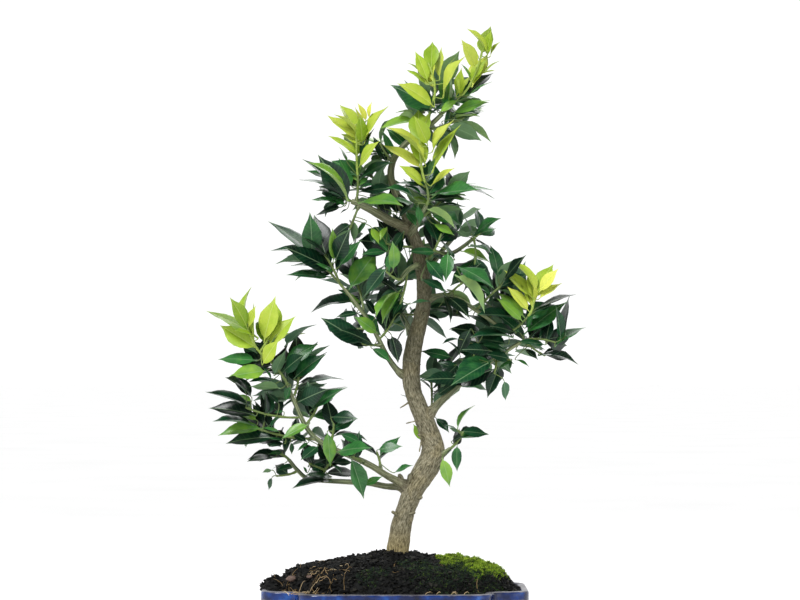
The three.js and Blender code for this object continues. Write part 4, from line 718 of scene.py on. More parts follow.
chance = random.Random(23)
tuft_shapes = []
for k in range(TUFT_SHAPES):
    points, faces, tips = [], [], []
    for leaf in range(TUFT_LEAVES):
        angle = leaf * 2.4 + chance.uniform(-0.3, 0.3)
        lean, tall = chance.uniform(0.15, 0.75), chance.uniform(0.6, 1)
        out = np.array([math.cos(angle), math.sin(angle), 0])
        side = np.array([-out[1], out[0], 0]) * 0.1
        root, mid = out * 0.04 - (0, 0, 0.3), out * lean * 0.35 + (0, 0, tall * 0.55)
        start = len(points)
        points += [root - side, root + side, root - out * 0.1, mid - side, mid + side, mid - out * 0.1,
                   out * lean + (0, 0, tall)]
        tips += [0, 0, 0, 0.55, 0.55, 0.55, 1]
        for a, b, c in ((0, 1, 4), (0, 4, 3), (1, 2, 5), (1, 5, 4), (2, 0, 3), (2, 3, 5),
                        (3, 4, 6), (4, 5, 6), (5, 3, 6), (0, 2, 1)):
            faces.append((start + a, start + b, start + c))
    mesh = bpy.data.meshes.new(f"tuft_{k}")
    mesh.from_pydata([Vector(p) * MM for p in points], [], faces)
    tuft = put(f"tuft_{k}", mesh)
    mark(tuft, "tip", tips)
    tuft_shapes.append(tuft)
tuft_box = shapes_box("tufts", tuft_shapes)

tree, given = start_tree("moss_tufts", Density="Float", Height="Float", Brightness="Float",
                         Shapes="Collection", Seed="Int")
cover = named(tree, "cover")
spread = add(tree, "GeometryNodeDistributePointsOnFaces", {
    "Mesh": given["Geometry"], "Seed": given["Seed"],
    "Density": add(tree, "ShaderNodeMath", {0: cover, 1: given["Density"]}, operation="MULTIPLY")})
lean = add(tree, "FunctionNodeRandomValue", {0: (-0.3, -0.3, 0.0), 1: (0.3, 0.3, 6.28), "Seed": 2},
           data_type="FLOAT_VECTOR")
sizes = add(tree, "FunctionNodeRandomValue", {"Min": 0.55, "Max": 1.2, "Seed": 8})
scaled = add(tree, "ShaderNodeMath", {0: sizes, 1: given["Height"]}, operation="MULTIPLY")
pool = add(tree, "GeometryNodeCollectionInfo", {"Collection": given["Shapes"], "Separate Children": True,
                                                "Reset Children": True})
planted = add(tree, "GeometryNodeInstanceOnPoints", {
    "Points": spread, "Instance": pool, "Pick Instance": True, "Rotation": lean, "Scale": scaled})
shade = add(tree, "FunctionNodeRandomValue", {"Min": -0.45, "Max": 0.2, "Seed": 4})
evened = add(tree, "ShaderNodeMath", {0: shade, 1: given["Brightness"]}, operation="ADD")
tones = add(tree, "ShaderNodeMath", {0: evened, 1: named(tree, "clump")}, operation="ADD")
toned = add(tree, "GeometryNodeStoreNamedAttribute", {
    "Geometry": planted, "Name": "tone", "Value": tones}, domain="INSTANCE")
end_tree(tree, toned, (moss_green, None))

# Young moss keeps behind a slanting line across the cushion, and darker moss covers the rest of it, partly
# older moss and partly painted shade. The mats on the bare soil, painted dark in the same way, thin out towards
# their edges.
for name, ground, brightness, clumps, density, height, seed in (
        ("moss_tufts", cushion, 0.95, 1.1, CUSHION_TUFTS, CUSHION_TUFT, 3),
        ("older_moss_tufts", cushion, 0.2, 0.5, CUSHION_TUFTS, MAT_TUFT, 6),
        ("creeping_moss", bed, 0.04, 0.2, MAT_TUFTS, MAT_TUFT, 9)):
    spots = np.array([v.co for v in ground.data.vertices]) / MM - POT_MIDDLE / MM
    if ground is cushion:
        low = soil_height(spots[:, 0], spots[:, 1], edge_share_at(spots[:, 0], spots[:, 1])) - 2
        patchy = np.array([noise.noise(Vector(p) / 14) for p in spots])
        young_share = np.clip((spots[:, 1] + 50 + 0.3 * (spots[:, 0] - 74)) / 8 + 2.2 * patchy, 0, 1)
        cover_share = (spots[:, 2] > low) * (young_share if name == "moss_tufts" else 1 - young_share)
    else:
        reach = np.min([np.hypot((spots[:, 0] - x) / a, (spots[:, 1] - y) / b)
                        for x, y, a, b in MATS], axis=0)
        patchy = np.array([noise.noise(Vector(p) / 9) for p in spots])
        cover_share = np.clip((1.05 - reach) * 2.2 + 1.3 * patchy, 0, 1) * (spots[:, 2] > 74)
    made = put(name, ground.data.copy())
    mark(made, "cover", cover_share)
    mark(made, "clump", clumps * np.array([noise.noise(Vector(p) / 5) for p in spots]))
    fit_tree(made, tree, Density=density / MM ** 2, Height=height, Brightness=brightness, Shapes=tuft_box,
             Seed=seed)
    made.data.shade_flat()
    belongs(made, "moss")
empty_box(tuft_box)
mark(cushion, "tip", np.full(len(cushion.data.vertices), 0.25))
mark(cushion, "tone", np.full(len(cushion.data.vertices), 0.6))
belongs(cushion, "moss", "moss_cushion")

# Wood
# The trunk, its branches, spurs and pruning stubs grew as one piece. Old wood has grey-brown bark with fine
# lengthwise cracks and pits, and wood of the last few years is still green with pale stripes.
BRANCHES = {  # x, y, z, radius along each limb, from inside what it grows from
    "trunk": [(-3, 1, 62, 8.5), (0, 0, 96, 10.5), (3, 0, 115, 11.2), (6, -1, 136, 10.3), (10, -2, 152, 9.6),
        (15, -3, 166, 9.8), (22, -4, 181, 11), (32, -2, 196, 12), (38, 2, 211, 12), (36, 3, 224, 10.6),
        (30, 1, 241, 9.4), (23, -2, 258, 8.8), (18, -3, 272, 8.4), (16, -1, 289, 9), (17, 2, 306, 9),
        (20, 4, 322, 8.4), (24, 3, 338, 7.6), (28, 0, 356, 7.4), (29, -2, 374, 7.2), (26, -3, 397, 6.8),
        (22, 0, 416, 6.4), (16, 2, 432, 6.2)],
    "leader": [(16, 2, 432, 5.6), (10, 0, 449, 4.6), (2, -2, 467, 4), (-4, 0, 485, 3.6), (-2, 3, 501, 3.3),
        (7, 4, 515, 3), (21, 3, 527, 2.8), (36, 1, 538, 2.5), (47, -1, 548, 2.2)],
    "crown_left": [(16, 1, 431, 5.4), (4, -6, 437, 4.8), (-9, -12, 443, 4.4), (-23, -14, 451, 3.8),
        (-35, -14, 457, 3.2), (-43, -13, 460, 2.6)],
    "crown_right": [(15, -2, 428, 4), (21, -10, 437, 3), (26, -16, 446, 2.5), (31, -18, 455, 2.2)],
    "right_up": [(23, 0, 412, 4), (34, 5, 412, 2.8), (47, 7, 409, 2.3), (58, 7, 410, 2.1), (68, 5, 416, 1.9),
        (77, 3, 423, 1.8)],
    "right_mid": [(29, 0, 361, 4), (41, -4, 366, 2.7), (53, -7, 367, 2.4), (67, -9, 361, 2.2),
        (82, -9, 351, 2.1), (95, -8, 342, 1.9), (107, -7, 333, 1.8)],
    "right_low": [(30, 0, 244, 6), (37, -2, 253, 4.6), (47, -5, 263, 3.6), (58, -8, 273, 3.1),
        (71, -9, 284, 2.7), (85, -7, 294, 2.4), (100, -4, 304, 2.1), (113, -2, 313, 1.9),
        (124, -1, 320, 1.8)],
    "left_mid": [(12, 0, 285, 4), (2, -5, 293, 3), (-8, -9, 307, 2.6), (-16, -11, 323, 2.3),
        (-25, -11, 340, 2.1), (-38, -9, 358, 1.9), (-51, -7, 374, 1.7)],
    "left_low_a": [(16, -2, 175, 6), (6, -6, 181, 4.2), (-9, -10, 189, 3.4), (-23, -14, 198, 3.1),
        (-39, -17, 206, 2.9), (-56, -18, 213, 2.7), (-72, -16, 221, 2.5), (-84, -13, 231, 2.4),
        (-93, -10, 246, 2.2), (-100, -8, 262, 2), (-106, -8, 277, 1.8)],
    "left_low_b": [(16, 0, 171, 6), (5, 5, 176, 3.8), (-9, 10, 177, 3.1), (-27, 15, 180, 2.8),
        (-47, 19, 181, 2.6), (-68, 22, 182, 2.4), (-87, 22, 184, 2.2), (-98, 20, 193, 2),
        (-106, 18, 203, 1.8)],
    "back_left": [(19, 4, 323, 4), (12, 20, 338, 3), (3, 38, 355, 2.5), (-5, 54, 370, 2)],
    "back_right": [(28, 0, 384, 4), (38, 17, 400, 3), (49, 35, 415, 2.4), (60, 51, 428, 2)],
    "front": [(26, -2, 396, 4), (19, -18, 395, 2.8), (12, -33, 390, 2.3), (6, -46, 382, 2)],
    "low_right": [(39, 2, 207, 6), (48, -4, 210, 2.6), (55, -6, 215, 2)],
}
STUBS = [  # sawn or snapped ends of old branches, and last three thorns: root, end, radius
    ((10, -6, 176), (4, -10, 190), 2.6), ((14, -7, 176), (15, -12, 190), 2.2),
    ((16, -4, 164), (27, -10, 167), 2.0), ((34, 0, 224), (23, -9, 229), 1.8),
    ((2, -8, 150), (-3, -11, 153), 1.5), ((14, -9, 150), (20, -12, 152), 1.3),
    ((30, -8, 196), (34, -15, 199), 1.4), ((19, -5, 300), (11, -11, 304), 1.6),
    ((26, -4, 345), (31, -11, 350), 1.5), ((16, -4, 262), (5, -9, 255), 0.8),
    ((23, -5, 243), (11, -10, 240), 0.7), ((26, -4, 221), (24, -12, 212), 0.7),
]
KNOTS = {"count": 26, "radius": (1.1, 2.2)}  # old bud and thorn scars on the trunk
LIMB_STEP = 1.1  # mm between rings along a limb
SIDES = {"trunk": 84, "branch": 28, "stub": 16, "knot": 14}
TRUNK_FOOT = {"from": 104, "over": 16, "flare": 0.2}  # below this height the trunk widens by this share
COLLAR = {"swell": 1.1, "from": 8, "over": 5}  # a branch swells where it leaves the older wood
STUB_WIDTHS = (1.5, 1.35, 1.2, 1.08, 1, 1.02, 1.1, 1.0, 0.55)  # shares of its radius, from root to end
KNOT_WIDTHS = (1.6, 1.5, 1.35, 1.2, 1.05, 0.85, 0.4)
CRACK = {"depth": 0.85, "width": 2.6, "stretch": 0.16}  # bark cracks in mm, and how much they are drawn out
REFERENCE = Vector((0.3, 0.8, 0.5))  # turns round a limb or a shoot are counted from here


def limb_point(points, t):
    """A point on the smooth curve through a limb's points, t from 0 to 1."""
    spots = [Vector(p[:3]) for p in points]
    spots = [2 * spots[0] - spots[1], *spots, 2 * spots[-1] - spots[-2]]
    where = min(max(t, 0), 1) * (len(points) - 1)
    i = min(int(where), len(points) - 2)
    w = where - i
    p0, p1, p2, p3 = spots[i:i + 4]
    v0, v1 = (p2 - p0) / 2, (p3 - p1) / 2
    return p1 + v0 * w + (3 * (p2 - p1) - 2 * v0 - v1) * w ** 2 + (2 * (p1 - p2) + v0 + v1) * w ** 3


def limb_radius(points, t):
    """The limb's radius there."""
    where = min(t * (len(points) - 1), len(points) - 1.000001)
    i = int(where)
    return points[i][3] + (points[i + 1][3] - points[i][3]) * (where - i)


def limb_path(points):
    """Closely spaced points along a limb with their radii."""
    rough = [limb_point(points, t) for t in np.linspace(0, 1, 60)]
    length = sum((b - a).length for a, b in zip(rough, rough[1:]))
    steps = np.linspace(0, 1, max(4, int(length / LIMB_STEP)))
    spots = np.array([limb_point(points, t) for t in steps])
    radii = np.array([limb_radius(points, t) for t in steps])
    blur = np.exp(-np.linspace(-2, 2, 9) ** 2)
    padded = np.pad(radii, 4, mode="edge")
    return spots, np.convolve(padded, blur / blur.sum(), "valid")


# Bark: dry and matt. Cracks of about 3 mm run lengthwise, old ridges are grey and fresh ones tan, the foot is
# yellowish, the upper trunk is painted darker and greener with height, partly algae and partly painted shade
# from the leaves above, and green one-year wood shines a little more.
bark, tree, shader = start_material("grey_brown_citrus_bark")
run = add(tree, "ShaderNodeAttribute", attribute_name="bark_place")
age = add(tree, "ShaderNodeAttribute", attribute_name="age")
at = add(tree, "ShaderNodeTexCoord")
spot = add(tree, "ShaderNodeSeparateXYZ", {"Vector": at.outputs["Object"]})
drawn_out = add(tree, "ShaderNodeMapping", {"Vector": run.outputs["Vector"], "Scale": (1, 1, 0.34)})
fine = add(tree, "ShaderNodeTexNoise", {"Vector": drawn_out, "Scale": 0.74, "Detail": 7.0, "Roughness": 0.68})
pits = add(tree, "ShaderNodeTexNoise", {"Vector": run.outputs["Vector"], "Scale": 0.5, "Detail": 4.0})
broad = add(tree, "ShaderNodeTexNoise", {"Vector": run.outputs["Vector"], "Scale": 0.07, "Detail": 2.0})
ridges = add(tree, "ShaderNodeValToRGB", {"Fac": fine},
             [(0.32, "#25221A"), (0.43, "#5E5944"), (0.55, "#857F68"), (0.7, "#A9A48D")])
yellow = add(tree, "ShaderNodeValToRGB", {"Fac": fine},
             [(0.32, "#352C1C"), (0.45, "#776A45"), (0.58, "#9F9164"), (0.72, "#BBB088")])
low_down = add(tree, "ShaderNodeMapRange", {"Value": spot.outputs["Z"], "From Min": 0.140, "From Max": 0.112})
blotch = add(tree, "ShaderNodeMapRange", {"Value": broad, "From Min": 0.47, "From Max": 0.62, "To Max": 0.3})
yellowness = add(tree, "ShaderNodeMath", {0: low_down, 1: blotch}, operation="MAXIMUM")
old_bark = add(tree, "ShaderNodeMix", {"Factor": yellowness, "A": ridges, "B": yellow}, data_type="RGBA")
pitted = add(tree, "ShaderNodeMapRange", {"Value": pits, "From Min": 0.36, "From Max": 0.3, "To Max": 0.75})
marked = add(tree, "ShaderNodeMix", {"Factor": pitted, "A": old_bark, "B": linear("#2B2119")},
             data_type="RGBA")
# Darker and greener from 220 mm up to 360 mm: partly algae, partly painted shade from the leaves above.
painted_shade_share = add(tree, "ShaderNodeMapRange", {"Value": spot.outputs["Z"], "From Min": 0.22, "From Max": 0.36,
                                          "To Max": 0.55})
algae_and_painted_shade = add(tree, "ShaderNodeMix", {"Factor": painted_shade_share, "A": marked, "B": linear("#3F402A")}, data_type="RGBA")
striped = add(tree, "ShaderNodeMapping", {"Vector": run.outputs["Vector"], "Scale": (1, 1, 0.03)})
stripes = add(tree, "ShaderNodeTexNoise", {"Vector": striped, "Scale": 0.9, "Detail": 3.0})
green_wood = add(tree, "ShaderNodeValToRGB", {"Fac": stripes},
                 [(0.3, "#2A3820"), (0.48, "#556240"), (0.62, "#8A9168"), (0.78, "#A9AD86")])
coloured = add(tree, "ShaderNodeMix", {"Factor": age.outputs["Fac"], "A": green_wood, "B": algae_and_painted_shade},
               data_type="RGBA")
dryness = add(tree, "ShaderNodeMapRange", {"Value": age.outputs["Fac"], "To Min": 0.5, "To Max": 0.88})
grain_lift = add(tree, "ShaderNodeBump", {"Height": fine, "Strength": 0.5, "Distance": 0.0005})
feed(tree, shader, coloured, dryness, grain_lift)

# A limb is a tube along its path. Its cracks are noise drawn out lengthwise, pressed into the surface.
tree, given = start_tree("barked_limb", Sides="Int", Crack_Depth="Float", Crack_Width="Float",
                         Stretch="Float", Millimetre="Float")
lines = add(tree, "GeometryNodeMeshToCurve", {"Mesh": given["Geometry"]})
run_mm = add(tree, "ShaderNodeMath", {0: add(tree, "GeometryNodeSplineParameter").outputs["Length"],
                                      1: given["Millimetre"]}, operation="DIVIDE")
start_mm = named(tree, "start")
run_from = add(tree, "ShaderNodeMath", {0: run_mm, 1: start_mm}, operation="ADD")
with_run = add(tree, "GeometryNodeStoreNamedAttribute", {"Geometry": lines, "Name": "run", "Value": run_from})
circle = add(tree, "GeometryNodeCurvePrimitiveCircle", {"Resolution": given["Sides"], "Radius": 1.0})
with_round = add(tree, "GeometryNodeStoreNamedAttribute", {
    "Geometry": circle, "Name": "round", "Value": add(tree, "GeometryNodeInputPosition")},
    data_type="FLOAT_VECTOR")
tube = add(tree, "GeometryNodeCurveToMesh", {
    "Curve": with_run, "Profile Curve": with_round, "Scale": named(tree, "thickness"), "Fill Caps": True})
width_mm = add(tree, "ShaderNodeMath", {0: named(tree, "thickness"), 1: given["Millimetre"]},
               operation="DIVIDE")
ring_mm = add(tree, "ShaderNodeVectorMath", {0: named(tree, "round", "FLOAT_VECTOR"), "Scale": width_mm},
              operation="SCALE")
ring_xyz = add(tree, "ShaderNodeSeparateXYZ", {"Vector": ring_mm})
bark_place = add(tree, "ShaderNodeCombineXYZ", {"X": ring_xyz.outputs["X"], "Y": ring_xyz.outputs["Y"],
                                                "Z": named(tree, "run")})
placed = add(tree, "GeometryNodeStoreNamedAttribute", {
    "Geometry": tube, "Name": "bark_place", "Value": bark_place}, data_type="FLOAT_VECTOR")
where = named(tree, "bark_place", "FLOAT_VECTOR")
stretch = add(tree, "ShaderNodeCombineXYZ", {"X": 1.0, "Y": 1.0, "Z": given["Stretch"]})
drawn = add(tree, "ShaderNodeVectorMath", {0: where, 1: stretch}, operation="MULTIPLY")
per_mm = add(tree, "ShaderNodeMath", {0: 1.0, 1: given["Crack Width"]}, operation="DIVIDE")
cracks = add(tree, "ShaderNodeTexNoise", {"Vector": drawn, "Scale": per_mm, "Detail": 4.0, "Roughness": 0.6})
swells = add(tree, "ShaderNodeTexNoise", {"Vector": where, "Scale": 0.09, "Detail": 2.0})
crack_lift = add(tree, "ShaderNodeMath", {0: cracks, 1: 0.55}, operation="SUBTRACT")
swell_lift = add(tree, "ShaderNodeMath", {0: swells, 1: 0.5}, operation="SUBTRACT")
lift = add(tree, "ShaderNodeMath", {0: swell_lift, 1: 2.2, 2: crack_lift}, operation="MULTIPLY_ADD")
deep = add(tree, "ShaderNodeMath", {0: lift, 1: given["Crack Depth"]}, operation="MULTIPLY")
aged = add(tree, "ShaderNodeMath", {0: deep, 1: named(tree, "age")}, operation="MULTIPLY")
metres = add(tree, "ShaderNodeMath", {0: aged, 1: given["Millimetre"]}, operation="MULTIPLY")
outwards = add(tree, "ShaderNodeVectorMath", {0: add(tree, "GeometryNodeInputNormal"),
                                              "Scale": metres}, operation="SCALE")
shaped = add(tree, "GeometryNodeSetPosition", {"Geometry": placed, "Offset": outwards})
end_tree(tree, shaped, (bark, None))
limb_tree = tree


def age_of(radius):
    """0 for green one-year wood, 1 for old bark."""
    return np.clip((np.asarray(radius) - 2.6) / 3.2, 0, 1) ** 0.7


limbs = []  # path, radii, sides, where its bark pattern starts, and its age where the radius doesn't tell it
for k, (name, points) in enumerate(BRANCHES.items()):
    path, radii = limb_path(points)
    if name == "trunk":
        foot = np.clip((TRUNK_FOOT["from"] - path[:, 2]) / TRUNK_FOOT["over"], 0, 1)
        limbs.append((path, radii * (1 + TRUNK_FOOT["flare"] * foot ** 2), SIDES["trunk"], 0, None))
    else:
        reach = np.linalg.norm(path - path[0], axis=1)
        collar = COLLAR["swell"] * radii[0] / 5 * np.exp(-((reach - COLLAR["from"]) / COLLAR["over"]) ** 2)
        limbs.append((path, radii + collar, SIDES["branch"], 500 * (k + 1), None))
for k, (root, end, r) in enumerate(STUBS):
    s = np.linspace(0, 1, len(STUB_WIDTHS))[:, None]
    path = np.array(root) + s * (np.array(end) - root)
    limbs.append((path, r * np.array(STUB_WIDTHS), SIDES["stub"], 9000 + 70 * k, 0.9))

# Shoots
# Every leafy shoot is one season's growth from a limb's end, a limb's side or an older shoot. On the thicker
# limbs it stands on a short woody spur. This section finishes the wood with those spurs and with old scars.
SHOOTS = [  # name, what it grows from, where along it, tip, leaves on its far side, their length
    ("young_top", "top_main", 1, (88, -5, 617), 2, 44),
    ("young_top_left", "top_left", 1, (33, -12, 598), 2, 44),
    ("young_crown", "crown_front", 1, (25, -22, 527), 2, 46),
    ("young_crown_left", "crown_left_top", 1, (-38, -16, 537), 2, 48),
    ("young_right", "right_mid_tip", 1, (138, -11, 373), 2, 42),
    ("young_lower_left", "lower_left_tip", 1, (-143, -20, 328), 2, 50),
    ("young_lower_left_b", "young_lower_left", 0.2, (-120, -10, 334), 2, 46),
    ("top_main", "leader", 1, (66, -3, 566), 1, 45),
    ("top_left", "leader", 0.86, (38, -9, 560), 1, 47),
    ("top_right", "leader", 0.8, (70, 14, 546), 1, 45),
    ("top_back", "leader", 0.7, (45, 26, 578), 4, 43),
    ("top_inner", "leader", 0.5, (-15, 10, 520), 1, 43),
    ("crown_front", "crown_right", 1, (30, -20, 478), 1, 49),
    ("crown_side", "crown_right", 0.5, (62, 8, 478), 1, 45),
    ("crown_left_top", "crown_left", 0.88, (-37, -14, 486), 1, 47),
    ("crown_left_side", "crown_left", 1, (-66, -16, 486), 1, 49),
    ("crown_left_back", "crown_left", 0.5, (-24, 26, 490), 4, 45),
    ("crown_left_low", "crown_left", 0.8, (-45, -8, 432), 1, 43),
    ("upper_left_tip", "left_mid", 1, (-84, -8, 410), 1, 47),
    ("upper_left_b", "upper_left_tip", 0.15, (-70, -18, 408), 1, 45),
    ("upper_left_back", "left_mid", 0.75, (-44, 12, 396), 4, 45),
    ("left_mid_low", "left_mid", 0.62, (-57, -6, 336), 1, 47),
    ("left_mid_front", "left_mid", 0.45, (-33, -18, 319), 1, 47),
    ("left_mid_right", "left_mid", 0.5, (-1, -24, 344), 1, 45),
    ("centre_front_left", "front", 1, (-9, -56, 389), 1, 47),
    ("centre_front_low", "front", 0.65, (5, -48, 357), 1, 47),
    ("centre_left", "trunk", 0.95, (-9, -16, 418), 1, 45),
    ("centre_right", "trunk", 0.9, (46, -14, 428), 1, 47),
    ("back_left_a", "back_left", 1, (-29, 70, 381), 4, 45),
    ("back_left_b", "back_left_a", 0.2, (18, 72, 392), 4, 45),
    ("back_left_low", "back_left", 0.55, (30, 50, 349), 4, 45),
    ("back_right_a", "back_right", 1, (62, 62, 440), 4, 45),
    ("back_right_b", "back_right_a", 0.2, (30, 60, 455), 4, 45),
    ("right_up_tip", "right_up", 1, (88, 1, 432), 1, 43),
    ("right_up_low", "right_up_tip", 0.15, (79, -8, 397), 1, 45),
    ("right_mid_tip", "right_mid", 1, (132, -10, 346), 1, 45),
    ("right_mid_up", "right_mid", 0.65, (105, -6, 376), 1, 47),
    ("right_mid_inner", "right_mid", 0.35, (69, -22, 380), 1, 47),
    ("right_mid_back", "right_mid", 0.8, (116, 24, 362), 4, 45),
    ("right_low_tip", "right_low", 1, (160, -4, 320), 1, 47),
    ("right_low_out", "right_low_tip", 0.2, (150, 6, 307), 1, 43),
    ("right_low_drop", "right_low", 0.75, (98, -16, 289), 1, 45),
    ("right_low_mid", "right_low", 0.55, (82, -16, 319), 1, 49),
    ("right_low_in", "right_low", 0.4, (52, 12, 298), 1, 43),
    ("right_low_back", "right_low", 0.65, (93, 30, 315), 4, 45),
    ("low_shoot", "low_right", 1, (68, -8, 232), 1, 38),
    ("lower_left_tip", "left_low_a", 1, (-131, -15, 308), 1, 47),
    ("lower_left_up", "left_low_a", 0.92, (-95, -2, 296), 1, 47),
    ("lower_left_out", "left_low_a", 0.8, (-148, -16, 256), 1, 52),
    ("lower_left_in", "left_low_a", 0.75, (-75, -6, 262), 1, 47),
    ("lower_left_low", "left_low_a", 0.65, (-140, -6, 236), 1, 47),
    ("lower_left_mid", "left_low_a", 0.55, (-60, -22, 240), 1, 47),
    ("lower_left_hang", "left_low_a", 0.35, (-42, -31, 208), 1, 45),
    ("lower_left_single", "left_low_a", 0.24, (-18, -14, 212), 0, 30),
    ("lower_left_back", "left_low_a", 0.85, (-109, 26, 274), 4, 45),
    ("base_left_tip", "left_low_b", 1, (-119, 12, 211), 1, 38),
    ("base_left_low", "left_low_b", 0.86, (-119, 16, 187), 1, 32),
    ("base_left_mid", "left_low_b", 0.66, (-66, 16, 199), 1, 40),
    ("base_left_b", "base_left_mid", 0.6, (-86, 10, 200), 1, 36),
    ("low_back", "trunk", 0.45, (36, 38, 289), 4, 40),
]
SPUR_FROM, SPUR_LENGTH, SPUR_R, SPUR_TIP_R = 2.35, 3, 2, 1.6  # only limbs thicker than this bear spurs
STEM_R, STEM_TIP_R = 1.3, 0.95
GAP = 0.3
UP = Vector((0, 0, 1))


def shoot_point(shoot, t):
    """A point on the shoot's arc."""
    root, bend, end = shoot["arc"]
    return root * (1 - t) ** 2 + bend * 2 * t * (1 - t) + end * t ** 2


def heading_of(point_at, t):
    """The direction of a curve there."""
    return (point_at(min(t + 1e-4, 1)) - point_at(max(t - 1e-4, 0))).normalized()


def lay_out(name, parent_name, share, tip, leaves, leaf_length):
    """A shoot's arc, where it comes clear of the wood, and where its spur ends."""
    parent, wood = shoots.get(parent_name), BRANCHES.get(parent_name)
    point_at = (lambda t: shoot_point(parent, t)) if parent else (lambda t: limb_point(wood, t))
    root, along, end = point_at(share), heading_of(point_at, share), Vector(tip)
    reach = end - root
    sideways = reach - along * reach.dot(along)
    if share == 1:
        bend = root + along * reach.length * 0.4
    else:
        bend = root + sideways * 0.55 + along * reach.dot(along) * 0.3
    young = name.startswith("young")
    fork = parent is not None and parent["young"] == young
    wood_r = limb_radius(wood, share) if wood else 0
    leaving = (bend - root).normalized()
    slant, pace = leaving.cross(along).length, 2 * (bend - root).length
    beside = wood is not None and share < 1
    spur_end = (wood_r / slant + SPUR_LENGTH) / pace if beside and wood_r > SPUR_FROM else 0
    if fork:
        start = 0
    elif beside and not spur_end:
        start = (wood_r + GAP + STEM_R * abs(leaving.dot(along))) / slant / pace
    else:
        start = spur_end + GAP / pace
    return {"name": name, "arc": (root, bend, end), "leaves": leaves, "leaf_length": leaf_length,
            "young": young, "style": "young" if young else "mature", "start": start, "spur_end": spur_end,
            "node": parent["node"] if fork else name}


shoots = {}
for row in sorted(SHOOTS, key=lambda row: row[0].startswith("young")):
    shoots[row[0]] = lay_out(*row)

chance = random.Random(41)
for k, shoot in enumerate(s for s in shoots.values() if s["spur_end"]):
    path = np.array([shoot_point(shoot, t) for t in np.linspace(0, shoot["spur_end"], 10)])
    widths = np.interp(range(10), [0, 6, 9], [SPUR_R * 1.5, SPUR_R, SPUR_TIP_R])
    limbs.append((path, widths, SIDES["stub"], 20000 + 90 * k, None))
trunk_path, trunk_radii = limbs[0][0], limbs[0][1]
for k in range(KNOTS["count"]):
    i = int(len(trunk_path) * chance.uniform(0.12, 0.97))
    angle, r = chance.uniform(0, 2 * math.pi), chance.uniform(*KNOTS["radius"])
    along = Vector(trunk_path[min(i + 3, len(trunk_path) - 1)] - trunk_path[i - 3]).normalized()
    across = along.cross(REFERENCE).normalized()
    out = across * math.cos(angle) + along.cross(across) * math.sin(angle)
    s = np.linspace(0.55, 1, len(KNOT_WIDTHS))[:, None]
    path = trunk_path[i] + s * np.array(out) * (trunk_radii[i] + 0.45 * r)
    limbs.append((path, r * np.array(KNOT_WIDTHS), SIDES["knot"], 40000 + 60 * k, 1.0))

# The wood itself, in three pieces: the trunk, its branches, and all that is small on them
groups = {"trunk_wood": [limbs[0]], "branch_wood": limbs[1:len(BRANCHES)],
          "stubs_and_spurs": limbs[len(BRANCHES):]}
for name, members in groups.items():
    points, edges, thickness, starts, ages = [], [], [], [], []
    for path, radii, _, start, age in members:
        edges.extend((len(points) + i, len(points) + i + 1) for i in range(len(path) - 1))
        points.extend(path)
        thickness.extend(radii * MM)
        starts.extend([start] * len(path))
        ages.extend(age_of(radii) if age is None else [age] * len(path))
    wood = piece(name, points, [], edges=edges)
    mark(wood, "thickness", thickness)
    mark(wood, "start", starts)
    mark(wood, "age", ages)
    fit_tree(wood, limb_tree, Sides=members[0][2], Crack_Depth=CRACK["depth"], Crack_Width=CRACK["width"],
             Stretch=CRACK["stretch"], Millimetre=MM)
    belongs(wood, "bark", "trunk")

# Leaves
# A leaf has a short stalk, a pointed oval blade folded along its pale rib, and a margin that waves a little.
# Mature leaves are leathery, glossy and blue-green with a greyer underside; the new ones are soft and lime.
# The treetop's part of the tones is painted light from above.
LEAF_STYLES = {  # the tones are the darkest, what the shoot's tip and the treetop add, and the spread
    "young": {"from": 0.1, "base_tilt": 56, "tip_tilt": 16, "curl": (0.05, 0.4), "fold": (8, 26),
              "sun": 0.2, "tones": (0.3, 0.35, 0, 0.16), "stem_tone": 0.65, "stalk_tone": 0.6},
    "mature": {"from": 0.16, "base_tilt": 64, "tip_tilt": 30, "curl": (0.1, 0.55), "fold": (6, 22),
               "sun": 0.45, "tones": (0.16, 0.2, 0.3, 0.2), "stem_tone": 0.3, "stalk_tone": 0.25},
}
BLADE_STATIONS = [0.0, 0.05, 0.1, 0.17, 0.29, 0.43, 0.58, 0.72, 0.85, 0.94, 1.0]  # shares of a leaf's length
BLADE_HALF = 0.215  # a blade's half width as a share of its length
STALK = 0.09  # the stalk's share of the length
BLADE_THICK = 0.011  # a share of the length too
VARIANTS = 12  # blades of each style, from nearly flat to well curled
CURLS = (0.05, 0.8)  # how much the flattest and the most arched of them turn over their length, in radians
GOLDEN_ANGLE = math.radians(137.5)
TRIES = 20  # turns round the stem at which a leaf of the far side is looked for
CROWN_AXIS_X = 20  # leaves turn their upper faces up and away from this line
FILLERS, YOUNG_FILLERS = 34, 5  # further leaves sought for each shoot, inside the crown
STALK_R = 0.45
STATION_COUNT = len(BLADE_STATIONS)
SECTION = [(-1, 1), (0, -1), (1, 1), (0.52, 0.5), (0, 0), (-0.52, 0.5)]
# a blade's six-sided section: how far across, and whether it is edge, underside, upper face or rib


